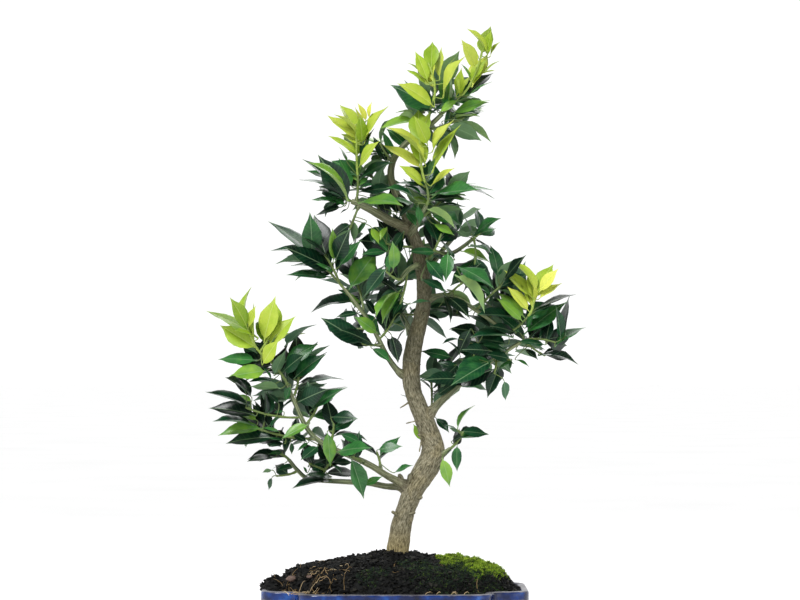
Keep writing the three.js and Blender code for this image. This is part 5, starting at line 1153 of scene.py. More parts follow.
def blade(name, curl, fold, wave, twist, wide):
    """One leaf, 1 m long before it is scaled, lying along X with its upper face to Z."""
    points, uvs = [], []
    for s in BLADE_STATIONS[:-1]:
        angle = curl * s
        middle = np.array([math.sin(angle), 0, math.cos(angle) - 1]) / curl
        up = np.array([math.sin(angle), 0, math.cos(angle)])
        q = max((s - STALK) / (1 - STALK), 0)
        tip = 1 - 0.62 * np.clip((q - 0.6) / 0.3, 0, 1) ** 1.3
        half = max(BLADE_HALF * wide * math.sin(math.pi * q ** 0.78) ** 0.9 * tip, 0.0125)
        thick = BLADE_THICK * (1.1 if s < STALK else 1 - 0.55 * s) + (0.006 if s < STALK else 0)
        ripple = wave * half * math.sin(9 * s + 3 * wide) if 0 < q < 0.95 else 0
        for v, lift in SECTION:
            lean = fold + (twist * s if v > 0 else -twist * s)
            height = abs(v) * half * math.sin(lean)
            if lift == 1:
                height += ripple * v
            elif lift == 0.5:
                height += 0.10 * half + thick * 0.5 + ripple * v * 0.4
            elif lift == 0:
                height += thick * 0.5
            else:
                height -= thick
            points.append(middle + np.array([0, v * half * math.cos(lean), 0]) + up * height)
            uvs.append((0.5 + v * half, s))
    points.append(np.array([math.sin(curl), 0, math.cos(curl) - 1]) / curl)
    uvs.append((0.5, 1))
    faces = walls(STATION_COUNT - 1, 6)
    last, tip_index = (STATION_COUNT - 2) * 6, len(points) - 1
    faces.extend((last + j, last + (j + 1) % 6, tip_index) for j in range(6))
    faces.append((5, 4, 3, 2, 1, 0))
    mesh = bpy.data.meshes.new(name)
    mesh.from_pydata([Vector(p) for p in points], [], faces)
    face_outwards(mesh)
    layer = mesh.uv_layers.new(name="leaf_map")
    for loop in mesh.loops:
        layer.data[loop.index].uv = uvs[loop.vertex_index]
    made = put(name, mesh)
    mark(made, "under", [1.0, 1.0, 0.0, 0.0, 0.0, 0.0] * (STATION_COUNT - 1) + [0.0], domain="FACE")
    mesh.shade_smooth()
    return made


chance = random.Random(11)
blade_boxes, blade_curls, blade_corners = {}, {}, {}
for style_name, style in LEAF_STYLES.items():
    made = []
    curls = np.linspace(*CURLS, VARIANTS)
    for k, curl in enumerate(curls):
        fold = math.radians(chance.uniform(*style["fold"]))
        made.append(blade(f"{style_name}_blade_{k:02d}", curl, fold, chance.uniform(0.02, 0.16),
                          chance.uniform(-0.25, 0.25), chance.uniform(0.98, 1.22)))
    blade_curls[style_name] = curls
    blade_corners[style_name] = [np.array([v.co for v in b.data.vertices]) for b in made]
    blade_boxes[style_name] = shapes_box(f"{style_name}_blades", made)

# The leaves that show from the front, each as x, z where its blade starts, x, z at its tip, both in the plane
# of the trunk's foot, and how far its upper face (or with a minus its underside) turns to the eye, up to 1. A
# sixth number is the tone of a leaf that stands out, from 0 for the darkest to 1.
SEEN_LEAVES = {
    "young_top": [(92, 606, 97, 637, 0.8), (95, 606, 106, 623, 0.4), (93, 612, 72, 639, 0.55),
        (81, 594, 67, 628, 0.9), (76, 577, 93, 605, 0.6), (90, 590, 106, 606, 0.1), (84, 588, 100, 590, 0.15),
        (65, 566, 67, 597, 0.85), (61, 566, 60, 592, 0.5), (66, 566, 76, 585, 0.5)],
    "young_top_left": [(48, 566, 72, 614, 0.45), (50, 582, 60, 606, 0.2), (45, 585, 47, 616, 0.5),
        (38, 582, 38, 607, 0.7), (33, 582, 20, 613, 0.9), (31, 581, 13, 600, 0.4), (31, 580, 11, 593, 0.5),
        (39, 557, 2, 585, 0.7)],
    "young_crown": [(33, 520, 19, 554, 0.9), (37, 513, 60, 546, 0.4), (31, 504, -10, 540, 0.45),
        (31, 499, 15, 531, 0.95), (28, 496, -13, 519, 0.5), (30, 477, 3, 501, 0.6), (37, 492, 66, 540, 0.4),
        (36, 479, 61, 500, 0.5)],
    "young_crown_left": [(-33, 520, -36, 553, 0.95), (-35, 522, -40, 556, 0.5), (-29, 543, -38, 562, 0.7, 1),
        (-26, 546, -23, 565, 0.6, 1), (-31, 520, -6, 563, 0.35), (-36, 528, -62, 551, 0.25),
        (-36, 524, -68, 548, 0.6), (-37, 510, -68, 531, 0.6), (-34, 520, -55, 530, 0.7),
        (-36, 497, -16, 528, 0.7)],
    "young_right": [(143, 372, 118, 403, 0.6, 0.55), (144, 371, 164, 396, 0.85, 0.95),
        (143, 364, 168, 381, 0.6, 0.85), (140, 362, 139, 381, 0.7), (137, 366, 109, 393, 0.65),
        (134, 352, 112, 377, 0.7)],
    "young_lower_left": [(-148, 336, -167, 369, 0.9), (-149, 338, -143, 377, 0.3),
        (-147, 336, -140, 360, 0.75), (-137, 326, -188, 350, 0.5), (-141, 326, -163, 336, 0.45),
        (-133, 299, -117, 327, 0.9)],
    "young_lower_left_b": [(-131, 321, -119, 368, 0.9), (-129, 320, -120, 337, 0.5),
        (-127, 316, -99, 348, 0.85)],
    "top_main": [(74, 571, 99, 586, 0.3), (76, 583, 66, 600, 0.5), (43, 552, -5, 576, 0.95),
        (42, 551, 66, 566, 0.4), (60, 551, 96, 563, 0.45)],
    "top_left": [(41, 550, 23, 556, 0.5)],
    "top_right": [(55, 545, 90, 550, 0.3), (57, 542, 86, 546, 0.2), (47, 540, 70, 541, 0.15),
        (52, 535, 86, 518, -0.8)],
    "top_back": [(20, 541, -16, 532, 0.7), (20, 547, 0, 548, 0.1)],
    "top_inner": [(14, 511, -9, 530, 0.8), (-2, 503, -13, 530, 0.7), (-8, 498, -22, 524, 0.8)],
    "crown_front": [(34, 491, 44, 514, 0.4), (36, 477, 56, 489, 0.3), (37, 470, 86, 480, 0.5),
        (37, 467, 69, 479, 0.4), (36, 464, 70, 468, 0.5), (31, 456, 61, 437, -0.4), (28, 479, 0, 481, 0.5),
        (20, 465, -9, 480, 0.45), (27, 470, 5, 478, 0.4), (20, 462, 3, 447, 0.6), (23, 461, 24, 440, 0.6)],
    "crown_side": [(39, 452, 69, 454, -0.4), (37, 457, 17, 465, 0.6, 0.9), (39, 455, 66, 433, 0.75),
        (37, 440, 60, 428, 0.6), (36, 448, 58, 440, 0.6), (10, 453, 22, 438, 0.7), (25, 450, -5, 466, 0.4)],
    "crown_left_top": [(-35, 500, -20, 538, 0.5), (-48, 502, -57, 518, 0.4), (-43, 477, -57, 507, 0.7),
        (-38, 477, -25, 488, 0.6), (-38, 474, -20, 481, 0.3), (-36, 484, 0, 502, 0.4),
        (-37, 472, 2, 477, 0.5), (-37, 462, 9, 462, 0.45), (-29, 467, -18, 457, 0.6)],
    "crown_left_side": [(-45, 463, -78, 512, 1), (-48, 465, -93, 504, 0.5), (-47, 464, -89, 510, 0.25),
        (-50, 474, -89, 491, 0.4), (-49, 463, -80, 476, 0.1), (-50, 460, -84, 462, 0.35),
        (-51, 458, -64, 467, 0.6), (-53, 457, -80, 447, 0.6), (-48, 455, -55, 450, 0.6),
        (-47, 467, -64, 478, 0.6)],
    "crown_left_low": [(-24, 437, -16, 420, 0.7, 1), (-42, 444, -41, 420, -0.8), (-28, 442, -38, 427, 0.6)],
    "upper_left_tip": [(-83, 404, -86, 454, 0.95), (-70, 396, -127, 439, 0.35), (-64, 386, -110, 390, 0.55),
        (-66, 395, -89, 418, 0.6), (-46, 373, -17, 410, 0.9, 0.68), (-48, 368, -57, 373, 0.5)],
    "upper_left_b": [(-66, 404, -94, 429, 0.2), (-62, 393, -112, 418, 0.8), (-62, 402, -63, 436, 0.7, 0.8),
        (-60, 402, -46, 438, 0.95, 0.15), (-56, 397, -33, 425, 0.8), (-61, 392, -80, 402, 0.6)],
    "upper_left_back": [(-34, 352, -49, 372, 0.7, 0.75), (-40, 361, -83, 347, 0.45),
        (-36, 350, -59, 346, 0.6), (-38, 350, -13, 326, 0.9)],
    "left_mid_low": [(-19, 350, -32, 368, 0.8, 0.03)],
    "left_mid_front": [(-24, 316, -4, 301, 0.7, 0.42)],
    "left_mid_right": [(5, 352, 10, 337, 0.4), (10, 336, 1, 322, 0.3), (-4, 330, 3, 300, 0.9)],
    "centre_front_left": [(-8, 402, -31, 371, 0.9), (-2, 398, -3, 430, 0.8)],
    "centre_front_low": [(3, 374, -17, 388, 0.7), (1, 375, -19, 351, 0.4, 0.75),
        (6, 377, -13, 343, 0.6, 0.78), (15, 363, 37, 366, 0.4), (8, 374, -10, 334, 0.35),
        (9, 368, -2, 351, 0.7)],
    "centre_left": [(-8, 437, -15, 424, 0.8), (9, 433, -6, 411, 0.6), (-20, 437, -27, 425, 0.1),
        (-6, 411, -20, 424, 0.7), (-8, 412, -34, 411, 0.6), (5, 412, 6, 427, 0.5)],
    "centre_right": [(42, 411, 12, 413, 0.7), (30, 405, 11, 384, 0.8), (31, 405, 48, 384, 0.8),
        (53, 412, 51, 383, 1), (26, 384, 53, 372, 0.6), (60, 403, 42, 424, 0.4)],
    "back_left_a": [(-14, 366, -31, 373, 0.7)],
    "back_left_low": [(26, 349, 62, 346, 0.5), (30, 346, 45, 337, 0.5), (10, 338, -5, 330, 0.25),
        (22, 350, 13, 343, 0.7)],
    "back_right_b": [(31, 434, 38, 404, 0.9)],
    "right_up_tip": [(78, 424, 107, 447, 0.45), (76, 425, 101, 432, 0.55), (75, 424, 59, 431, -0.6),
        (76, 428, 68, 446, 0.2), (65, 411, 95, 398, 0.6), (73, 417, 98, 412, 0.25)],
    "right_up_low": [(78, 422, 88, 418, 0.3)],
    "right_mid_tip": [(130, 345, 101, 370, 0.6, 0.85), (128, 342, 101, 366, 0.7, 0.8),
        (141, 355, 183, 371, 0.4), (139, 351, 161, 360, 0.6), (130, 335, 140, 350, 0.5),
        (119, 347, 81, 351, 0.7), (121, 330, 95, 339, 0.7), (118, 326, 75, 328, 0.4),
        (113, 319, 65, 323, 0.6)],
    "right_mid_up": [(103, 384, 95, 417, 0.8), (101, 372, 120, 404, -0.85), (108, 381, 133, 411, 0.5),
        (97, 356, 99, 371, 0.7), (70, 350, 96, 338, 0.4)],
    "right_mid_inner": [(52, 374, 78, 353, -0.75), (60, 390, 91, 354, -0.4), (66, 388, 92, 357, 0.8),
        (80, 380, 97, 369, 0.5), (48, 371, 56, 342, 0.5), (50, 368, 76, 347, 0.8), (62, 350, 35, 355, 0.4),
        (62, 398, 101, 378, 0.7)],
    "right_mid_back": [(95, 345, 74, 353, 0.4)],
    "right_low_tip": [(128, 328, 172, 361, 0.6), (150, 319, 156, 346, 0.9), (165, 324, 161, 358, 0.8),
        (170, 327, 173, 367, 0.4), (159, 316, 190, 334, 0.35), (120, 319, 150, 312, -0.5),
        (150, 318, 122, 322, 0.6), (125, 329, 103, 347, 0.9), (120, 313, 139, 302, -0.7)],
    "right_low_out": [(119, 303, 134, 295, 0.25), (128, 314, 143, 303, 0.6), (142, 307, 184, 299, 0.45)],
    "right_low_drop": [(113, 311, 86, 319, 0.35), (115, 304, 91, 310, 0.9), (110, 310, 61, 309, 0.9),
        (98, 303, 58, 289, 0.8), (104, 297, 92, 265, 0.95), (109, 284, 111, 264, -0.8),
        (117, 303, 103, 295, 0.5), (117, 304, 114, 293, 0.6)],
    "right_low_mid": [(65, 325, 47, 321, 0.4), (76, 336, 63, 308, 0.9, 0.08), (64, 304, 96, 300, 0.8),
        (70, 284, 27, 284, 0.7)],
    "right_low_in": [(65, 305, 50, 321, 0.15), (57, 304, 25, 311, 0.8), (68, 284, 92, 271, 0.7, 0.5),
        (66, 290, 42, 300, 0.8)],
    "low_shoot": [(62, 234, 50, 239, 0.4), (64, 231, 53, 236, -0.6), (62, 234, 80, 258, 0.35, 0.65),
        (65, 232, 94, 229, 0.6), (56, 222, 69, 228, 0.6), (62, 219, 62, 192, 0.9),
        (47, 207, 55, 177, 0.95, 0.85)],
    "lower_left_tip": [(-134, 317, -161, 319, 0.5, 0.6), (-136, 309, -162, 318, -0.4),
        (-138, 303, -177, 304, 0.7), (-128, 293, -167, 288, 0.95, 0.85), (-121, 288, -110, 314, -0.85),
        (-112, 300, -76, 320, 0.8), (-112, 291, -90, 311, 0.8), (-114, 275, -147, 278, -0.7),
        (-120, 280, -147, 282, 0.3), (-123, 284, -133, 297, 0.5), (-104, 278, -109, 262, 0.9)],
    "lower_left_up": [(-101, 284, -68, 309, 0.8), (-110, 316, -78, 340, -0.4), (-92, 287, -80, 298, -0.6),
        (-99, 276, -50, 283, 0.25), (-98, 270, -89, 278, 0.4), (-97, 261, -67, 276, 0.95)],
    "lower_left_out": [(-149, 271, -172, 288, 0.4), (-143, 266, -163, 289, 0.85), (-144, 258, -192, 273, 0.5),
        (-144, 262, -156, 269, 0.6, 0.85), (-139, 248, -186, 255, 0.7), (-130, 247, -130, 273, 0.6),
        (-127, 248, -127, 272, 0.8), (-116, 260, -128, 271, 0.7), (-111, 252, -121, 251, 0.6),
        (-117, 248, -125, 236, 0.7)],
    "lower_left_in": [(-85, 252, -47, 277, 0.5), (-84, 247, -44, 242, 0.6), (-86, 240, -114, 225, 0.8),
        (-83, 246, -97, 251, -0.5), (-85, 232, -66, 222, 0.7)],
    "lower_left_low": [(-137, 243, -157, 250, 0.7, 0.85), (-140, 238, -184, 244, 0.3),
        (-131, 235, -177, 228, 0.6), (-119, 226, -168, 219, 0.7), (-115, 232, -133, 236, 0.5),
        (-131, 240, -140, 263, 0.4), (-130, 241, -134, 271, 0.5), (-101, 229, -88, 222, 0.9),
        (-104, 222, -103, 209, 0.6), (-110, 220, -127, 217, 0.5), (-110, 222, -127, 225, 0.4),
        (-76, 218, -95, 204, 0.9), (-86, 222, -98, 213, 0.6)],
    "lower_left_mid": [(-64, 247, -37, 246, 0.8), (-65, 233, -38, 245, 0.6), (-58, 212, -23, 218, 0.8),
        (-68, 233, -65, 197, 0.9)],
    "lower_left_hang": [(-35, 222, -56, 231, 0.8), (-45, 208, -31, 165, 0.75), (-32, 178, -12, 188, 0.8)],
    "lower_left_single": [(-18, 214, 8, 218, 0.9, 0.5)],
    "base_left_tip": [(-111, 211, -125, 209, 0.8), (-118, 206, -148, 202, 0.45), (-108, 200, -121, 194, 0.2)],
    "base_left_low": [(-98, 197, -117, 192, 0.8), (-121, 193, -131, 190, -0.8), (-121, 186, -125, 173, -0.8)],
    "base_left_mid": [(-62, 198, -51, 188, 0.5), (-63, 200, -40, 200, 0.6), (-83, 192, -67, 199, 0.8),
        (-62, 186, -90, 188, 0.6)],
    "base_left_b": [(-86, 196, -66, 204, 0.4), (-87, 190, -91, 197, 0.7), (-62, 182, -103, 175, 0.45)],
    "low_back": [(28, 221, 18, 238, 0.95, 1), (40, 245, 54, 230, 0.8), (41, 270, 56, 282, 0.9)],
}
MORE_LEAVES = {  # leaves that the solids don't have: the same columns, then how far behind its stem each starts
    "young_top": [(77, 576, 93, 606, 0.85, 0.75, -5)],
    "top_main": [(72, 566, 98, 586, 0.7, 0.1, 0), (58, 549, 95, 563, 0.7, 0.72, -4),
        (44, 551, 64, 565, 0.7, 0.8, -4)],
    "top_right": [(57, 544, 90, 550, 0.7, 0.5, -2)],
    "centre_right": [(31, 405, 50, 383, 0.85, 0.35, -12), (31, 407, 10, 385, 0.85, 0.3, -12),
        (26, 386, 53, 371, 0.6, 0.3, -10)],
    "centre_left": [(9, 434, -6, 411, 0.7, 0.3, -8), (5, 412, 8, 428, 0.6, 0.2, -8)],
    "lower_left_single": [(-1, 191, 19, 199, 0.5, 0.5, 0)],
    "left_mid_front": [(-17, 330, -42, 349, 0.85, 0.75, -4), (-20, 318, -57, 336, 0.55, 0.08, 0)],
    "left_mid_right": [(-9, 327, 5, 303, 0.9, 0.02, 0)],
    "right_mid_inner": [(42, 353, 74, 344, 0.5, 0.1, 0)],
    "right_mid_up": [(78, 347, 98, 333, 0.6, 0.15, 0)],
    "right_low_mid": [(88, 331, 54, 334, 0.9, 0.08, 0), (97, 313, 67, 316, 0.85, 0.1, 0),
        (94, 302, 56, 281, 0.85, 0.35, -12), (66, 284, 45, 270, 0.7, 0.2, -8)],
    "right_low_in": [(42, 269, 58, 277, 0.95, 0.2, -8), (62, 298, 44, 281, 0.9, 0.12, -8)],
    "crown_left_back": [(-8, 446, -16, 470, 0.9, 0, 0), (2, 447, -5, 472, 0.9, 0.02, 0),
        (9, 450, 3, 470, 0.8, 0, 0)],
    "back_right_b": [(10, 424, -4, 436, 0.8, 0.05, 0), (12, 440, 4, 461, 0.9, 0, 0)],
    "back_left_b": [(2, 408, -18, 436, 0.9, 0.04, 0), (8, 410, -2, 440, 0.9, 0, 0),
        (14, 405, 12, 428, 0.9, 0.04, 0)],
}
EYE = {"x": 5, "z": 198, "distance": 1300}  # mm; the seen leaves are laid out on sight lines from here
LEANS = (1, -1, 0.4, 1.8, -1.8)  # how a seen leaf leans towards the eye or from it, as shares of its own lean
SHIFTS = (0, -4, 4, -9, 9, -14, 14, -20)  # how far its start stands before or behind its stem
SHORTEST = 17  # of the leaves that the solids have
SAME = 0.08  # mm, how near to a corner of its solid a leaf's tip has to come to be taken for the solid's leaf
STEM_END = 0.985  # no leaf starts nearer to its stem's tip than this share
SIDE_STEP = 0.31  # radians by which a leaf is turned further round its stem until it fits
EDGE_SPACE, WOOD_SPACE = 0.2, 0.5  # mm that added leaves keep from the whole size and from the wood
TWIN_SPACE, TWIN_LIKENESS = 5, 0.93  # mm between starts, and the cosine between directions
LATE_TRIES, FILLER_TRIES = 60, 30
HIDDEN_RIBS = 3  # points of a filler's rib, of six, that have to lie behind seen leaves
BLANKS = {"is_leaf": 0, "direction": (1, 0, 0), "normal": (0, 0, 1), "size": 0, "variant": 0, "tone": 0,
          "thickness": 0}
KINDS = {"direction": "FLOAT_VECTOR", "normal": "FLOAT_VECTOR", "variant": "INT"}  # "FLOAT" for the rest
STEM = {"points": 26, "sides": 8, "slim": 0.92, "swell": 0.3, "reach": 1.3}  # it swells a bit at each joint
STALK_POINTS = 5
seed = 20531


def draw(low, high):
    """The next number of one fixed series, the same that laid out the solids' leaves."""
    global seed
    seed = (seed * 16807) % 2147483647
    return low + (high - low) * seed / 2147483647


def seen_at(x, z, y):
    """The point at the depth y that shows where (x, 0, z) does."""
    widening = 1 + y / EYE["distance"]
    return Vector((EYE["x"] + (x - EYE["x"]) * widening, y, EYE["z"] + (z - EYE["z"]) * widening))


def joint_for(shoot, x, z):
    """The point of a stem that is nearest to a leaf's start."""
    shares = (0.08 + 0.92 * i / 30 for i in range(31))
    spots = [shoot_point(shoot, shoot["start"] + (STEM_END - shoot["start"]) * share) for share in shares]
    return min(spots, key=lambda spot: (spot - seen_at(x, z, spot.y)).length)


def leaf_between(joint, root, tip, facing, curl):
    """A leaf whose blade reaches from root to tip and turns its upper face partly to the eye."""
    span = (tip - root).length
    chord = (tip - root) / span
    forward = Vector((0, -1, 0))
    upward = forward.cross(chord).normalized()
    if upward.z < 0:
        upward = -upward
    up = forward * facing + upward * math.sqrt(1 - facing ** 2)
    up = (up - chord * up.dot(chord)).normalized()
    return {"joint": joint, "root": root, "direction": chord * math.cos(curl / 2) + up * math.sin(curl / 2),
            "normal": up * math.cos(curl / 2) - chord * math.sin(curl / 2),
            "length": span * curl / 2 / math.sin(curl / 2)}


def leaf_on(shoot, t, polar, azimuth, roll, length):
    """A leaf that leaves the shoot there at these angles."""
    style = LEAF_STYLES[shoot["style"]]
    root = shoot_point(shoot, t)
    along = heading_of(lambda u: shoot_point(shoot, u), t)
    e1 = REFERENCE.cross(along).normalized()
    e2 = along.cross(e1)
    sideways = e1 * math.cos(azimuth) + e2 * math.sin(azimuth)
    direction = along * math.cos(polar) + sideways * math.sin(polar)
    light = Vector((root.x - CROWN_AXIS_X, root.y, 0)).normalized() * 0.6 + UP
    normal = along * (1 - style["sun"]) + light * style["sun"]
    normal = (normal - direction * normal.dot(direction)).normalized()
    normal = normal * math.cos(roll) + direction.cross(normal) * math.sin(roll)
    return {"joint": root, "root": root, "direction": direction, "normal": normal, "length": length}


def variant_for(shoot, curl):
    """The number of the blade that is curled most like this."""
    return int(np.argmin(abs(blade_curls[shoot["style"]] - curl)))


def corners_of(leaf, style_name, variant):
    """The corners of a leaf's blade in mm, when it is shown by that variant."""
    side = leaf["normal"].cross(leaf["direction"])
    turn = np.array([leaf["direction"], side, leaf["normal"]])
    return np.array(leaf["root"]) + leaf["length"] * (blade_corners[style_name][variant] @ turn)


BLADE_FACES = []  # the part of a blade that has to miss its neighbours, as edge, rib and edge strips
for i in range(4, STATION_COUNT - 2):
    for j, k in ((0, 4), (4, 2)):
        BLADE_FACES.append((i * 6 + j, i * 6 + k, i * 6 + 6 + k, i * 6 + 6 + j))
BLADE_START, BLADE_MIDDLE = 24, 30  # a blade's corners from here on are tested; this one is near its middle
RIB_POINTS = (16, 28, 34, 40, 46, 52)
box_low, box_high = ((np.array(c) - POT_MIDDLE) / MM for c in cad_bounds)
wood_points = [(p, r) for path, radii, *_ in limbs for p, r in zip(path, radii)]
for shoot in shoots.values():
    wood_points.extend((shoot_point(shoot, t), STEM_R) for t in np.linspace(max(shoot["start"], 0.05), 1, 24))
wood_tree = kdtree.KDTree(len(wood_points))
for i, (p, _) in enumerate(wood_points):
    wood_tree.insert(p, i)
wood_tree.balance()
grown = []  # every leaf's blade as a search tree, with its middle and reach


def is_clear(points, reach):
    """Whether a blade misses the other blades and the wood, and keeps within the plant's whole size."""
    if (points < box_low + EDGE_SPACE).any() or (points > box_high - EDGE_SPACE).any():
        return False
    for p in points[BLADE_START:]:
        _, i, distance = wood_tree.find(Vector(p))
        if distance < wood_points[i][1] + WOOD_SPACE:
            return False
    middle = Vector(points[BLADE_MIDDLE])
    surface = BVHTree.FromPolygons([Vector(p) for p in points], BLADE_FACES)
    for other, centre, size in grown:
        if (centre - middle).length < size + reach and surface.overlap(other):
            return False
    return True


def is_twin(leaf, others):
    """Whether a leaf stands nearly where one of its own shoot's leaves does."""
    return any((leaf["root"] - other["root"]).length < TWIN_SPACE
               and leaf["direction"].dot(other["direction"]) > TWIN_LIKENESS for other in others)


def keep(shoot, leaf, variant, share, kind, tone=None):
    """Adds a leaf to its shoot, short enough for the whole size, so that later ones miss it."""
    middle_of_box, half_box = (box_low + box_high) / 2, (box_high - box_low) / 2 - 0.1
    while (abs(corners_of(leaf, shoot["style"], variant) - middle_of_box) > half_box).any():
        leaf["length"] *= 0.995
    points = corners_of(leaf, shoot["style"], variant)
    leaves[shoot["name"]].append({**leaf, "variant": variant, "share": share, "kind": kind, "tone": tone})
    surface = BVHTree.FromPolygons([Vector(p) for p in points], BLADE_FACES)
    grown.append((surface, Vector(points[BLADE_MIDDLE]), leaf["length"] * 0.6))
    if kind == "seen":
        seen_points.extend(Vector(p) for p in points)


# The leaves that the solids have: each is laid out by the solids' own rule and kept where its solid has it
leaves = {name: [] for name in shoots}
seen_points = []
late_rows = []
for name, *_ in SHOOTS:
    shoot = shoots[name]
    corners = frame["nodes"][shoot["node"]].data.vertices
    solid = kdtree.KDTree(len(corners))
    for v in corners:
        solid.insert((np.array(v.co) - POT_MIDDLE) / MM, v.index)
    solid.balance()
    shoot["solid"] = solid
    for row in SEEN_LEAVES.get(name, ()):
        x0, z0, x1, z1, facing, *tone = row
        reach = math.hypot(x1 - x0, z1 - z0)
        if reach < SHORTEST:
            late_rows.append((name, row))
            continue
        joint = joint_for(shoot, x0, z0)
        curl = draw(0.1, 0.45) if abs(facing) > 0.45 else draw(0.3, 0.8)
        draw(6, 22)  # the fold of the solid's blade, which keeps the series in step
        lean = draw(-0.55, 0.3) * (1 + 12 / reach)
        variant = variant_for(shoot, curl)
        for k in range(len(LEANS) * len(SHIFTS)):
            root = seen_at(x0, z0, joint.y + SHIFTS[k // len(LEANS)])
            tip = seen_at(x1, z1, root.y + lean * LEANS[k % len(LEANS)] * reach)
            if solid.find(tip)[2] < SAME:
                leaf = leaf_between(joint, root, tip, facing, curl)
                keep(shoot, leaf, variant, 0.6, "seen", *tone)
                break
        else:
            late_rows.append((name, row))
for name, *_ in SHOOTS:
    shoot = shoots[name]
    style = LEAF_STYLES[shoot["style"]]
    phase = draw(0, 2 * math.pi)
    for i in range(shoot["leaves"] - 1, -1, -1):
        share = (i + 0.6) / shoot["leaves"]
        along = style["from"] + (1 - style["from"]) * share
        t = min(shoot["start"] + (1 - shoot["start"]) * along, STEM_END)
        tilt = style["base_tilt"] + (style["tip_tilt"] - style["base_tilt"]) * share + draw(-9, 9)
        length = shoot["leaf_length"] * draw(0.8, 1.08)
        turn = phase + i * GOLDEN_ANGLE
        curl, _, roll = draw(*style["curl"]), draw(*style["fold"]), draw(-0.45, 0.45)
        variant = variant_for(shoot, curl)
        for k in range(TRIES):
            azimuth = turn + (1 if k % 2 else -1) * math.ceil(k / 2) * SIDE_STEP
            leaf = leaf_on(shoot, t, math.radians(tilt + (12 if k > 12 else 0)), azimuth, roll, length)
            tip = (leaf["root"] + leaf["direction"] * (length * math.sin(curl) / curl)
                   - leaf["normal"] * (length * (1 - math.cos(curl)) / curl))
            if shoot["solid"].find(tip)[2] < SAME:
                keep(shoot, leaf, variant, share, "far")
                break

# Small and crowded leaves, which the solids don't have
for name, rows in MORE_LEAVES.items():
    late_rows.extend((name, row) for row in rows)
chance = random.Random(5)
for name, (x0, z0, x1, z1, facing, *looks) in late_rows:
    shoot = shoots[name]
    joint = joint_for(shoot, x0, z0)
    reach = math.hypot(x1 - x0, z1 - z0)
    depth = joint.y + (looks[1] if len(looks) > 1 else 0)
    for k in range(LATE_TRIES):
        curl = chance.uniform(0.1, 0.5)
        root = seen_at(x0, z0, depth + chance.uniform(-4, 4) * (1 + k / 15))
        tip = seen_at(x1, z1, root.y + chance.uniform(-0.8, 0.8) * reach)
        leaf = leaf_between(joint, root, tip, facing, curl)
        variant = variant_for(shoot, curl)
        if is_clear(corners_of(leaf, shoot["style"], variant), leaf["length"] * 0.6):
            keep(shoot, leaf, variant, 0.6, "seen", *looks[:1])
            break

# Behind them grow further leaves, which fill the crown's depth and show between the others as its dark inside
corner_count = len(blade_corners["young"][0])
seen_faces = [tuple(first + j for j in face) for first in range(0, len(seen_points), corner_count)
              for face in BLADE_FACES]
seen_surface = BVHTree.FromPolygons(seen_points, seen_faces)
EYE_POINT = Vector(CAMERA_AT)
for name, shoot in shoots.items():
    style = LEAF_STYLES[shoot["style"]]
    for _ in range(YOUNG_FILLERS if shoot["young"] else FILLERS):
        share = chance.random() ** 0.8
        t = shoot["start"] + (1 - shoot["start"]) * (0.12 + 0.85 * share)
        for _ in range(FILLER_TRIES):
            polar = math.radians(style["base_tilt"] + (style["tip_tilt"] - style["base_tilt"]) * share
                                 + chance.uniform(-18, 18))
            length = shoot["leaf_length"] * chance.uniform(0.6, 1.1)
            leaf = leaf_on(shoot, t, polar, chance.uniform(0, 2 * math.pi), chance.uniform(-0.5, 0.5), length)
            if leaf["direction"].y < -0.2 or is_twin(leaf, leaves[name]):
                continue
            variant = chance.randrange(VARIANTS)
            points = corners_of(leaf, shoot["style"], variant)
            ribs = [Vector(points[i]) for i in RIB_POINTS]
            rays = [(p - EYE_POINT).normalized() for p in ribs]
            if any(seen_surface.ray_cast(p, ray)[0] for p, ray in zip(ribs, rays)):
                continue
            hidden = sum(bool(seen_surface.ray_cast(p, -ray)[0]) for p, ray in zip(ribs, rays))
            if hidden >= HIDDEN_RIBS and is_clear(points, length * 0.6):
                keep(shoot, leaf, variant, share, "filler")
                break


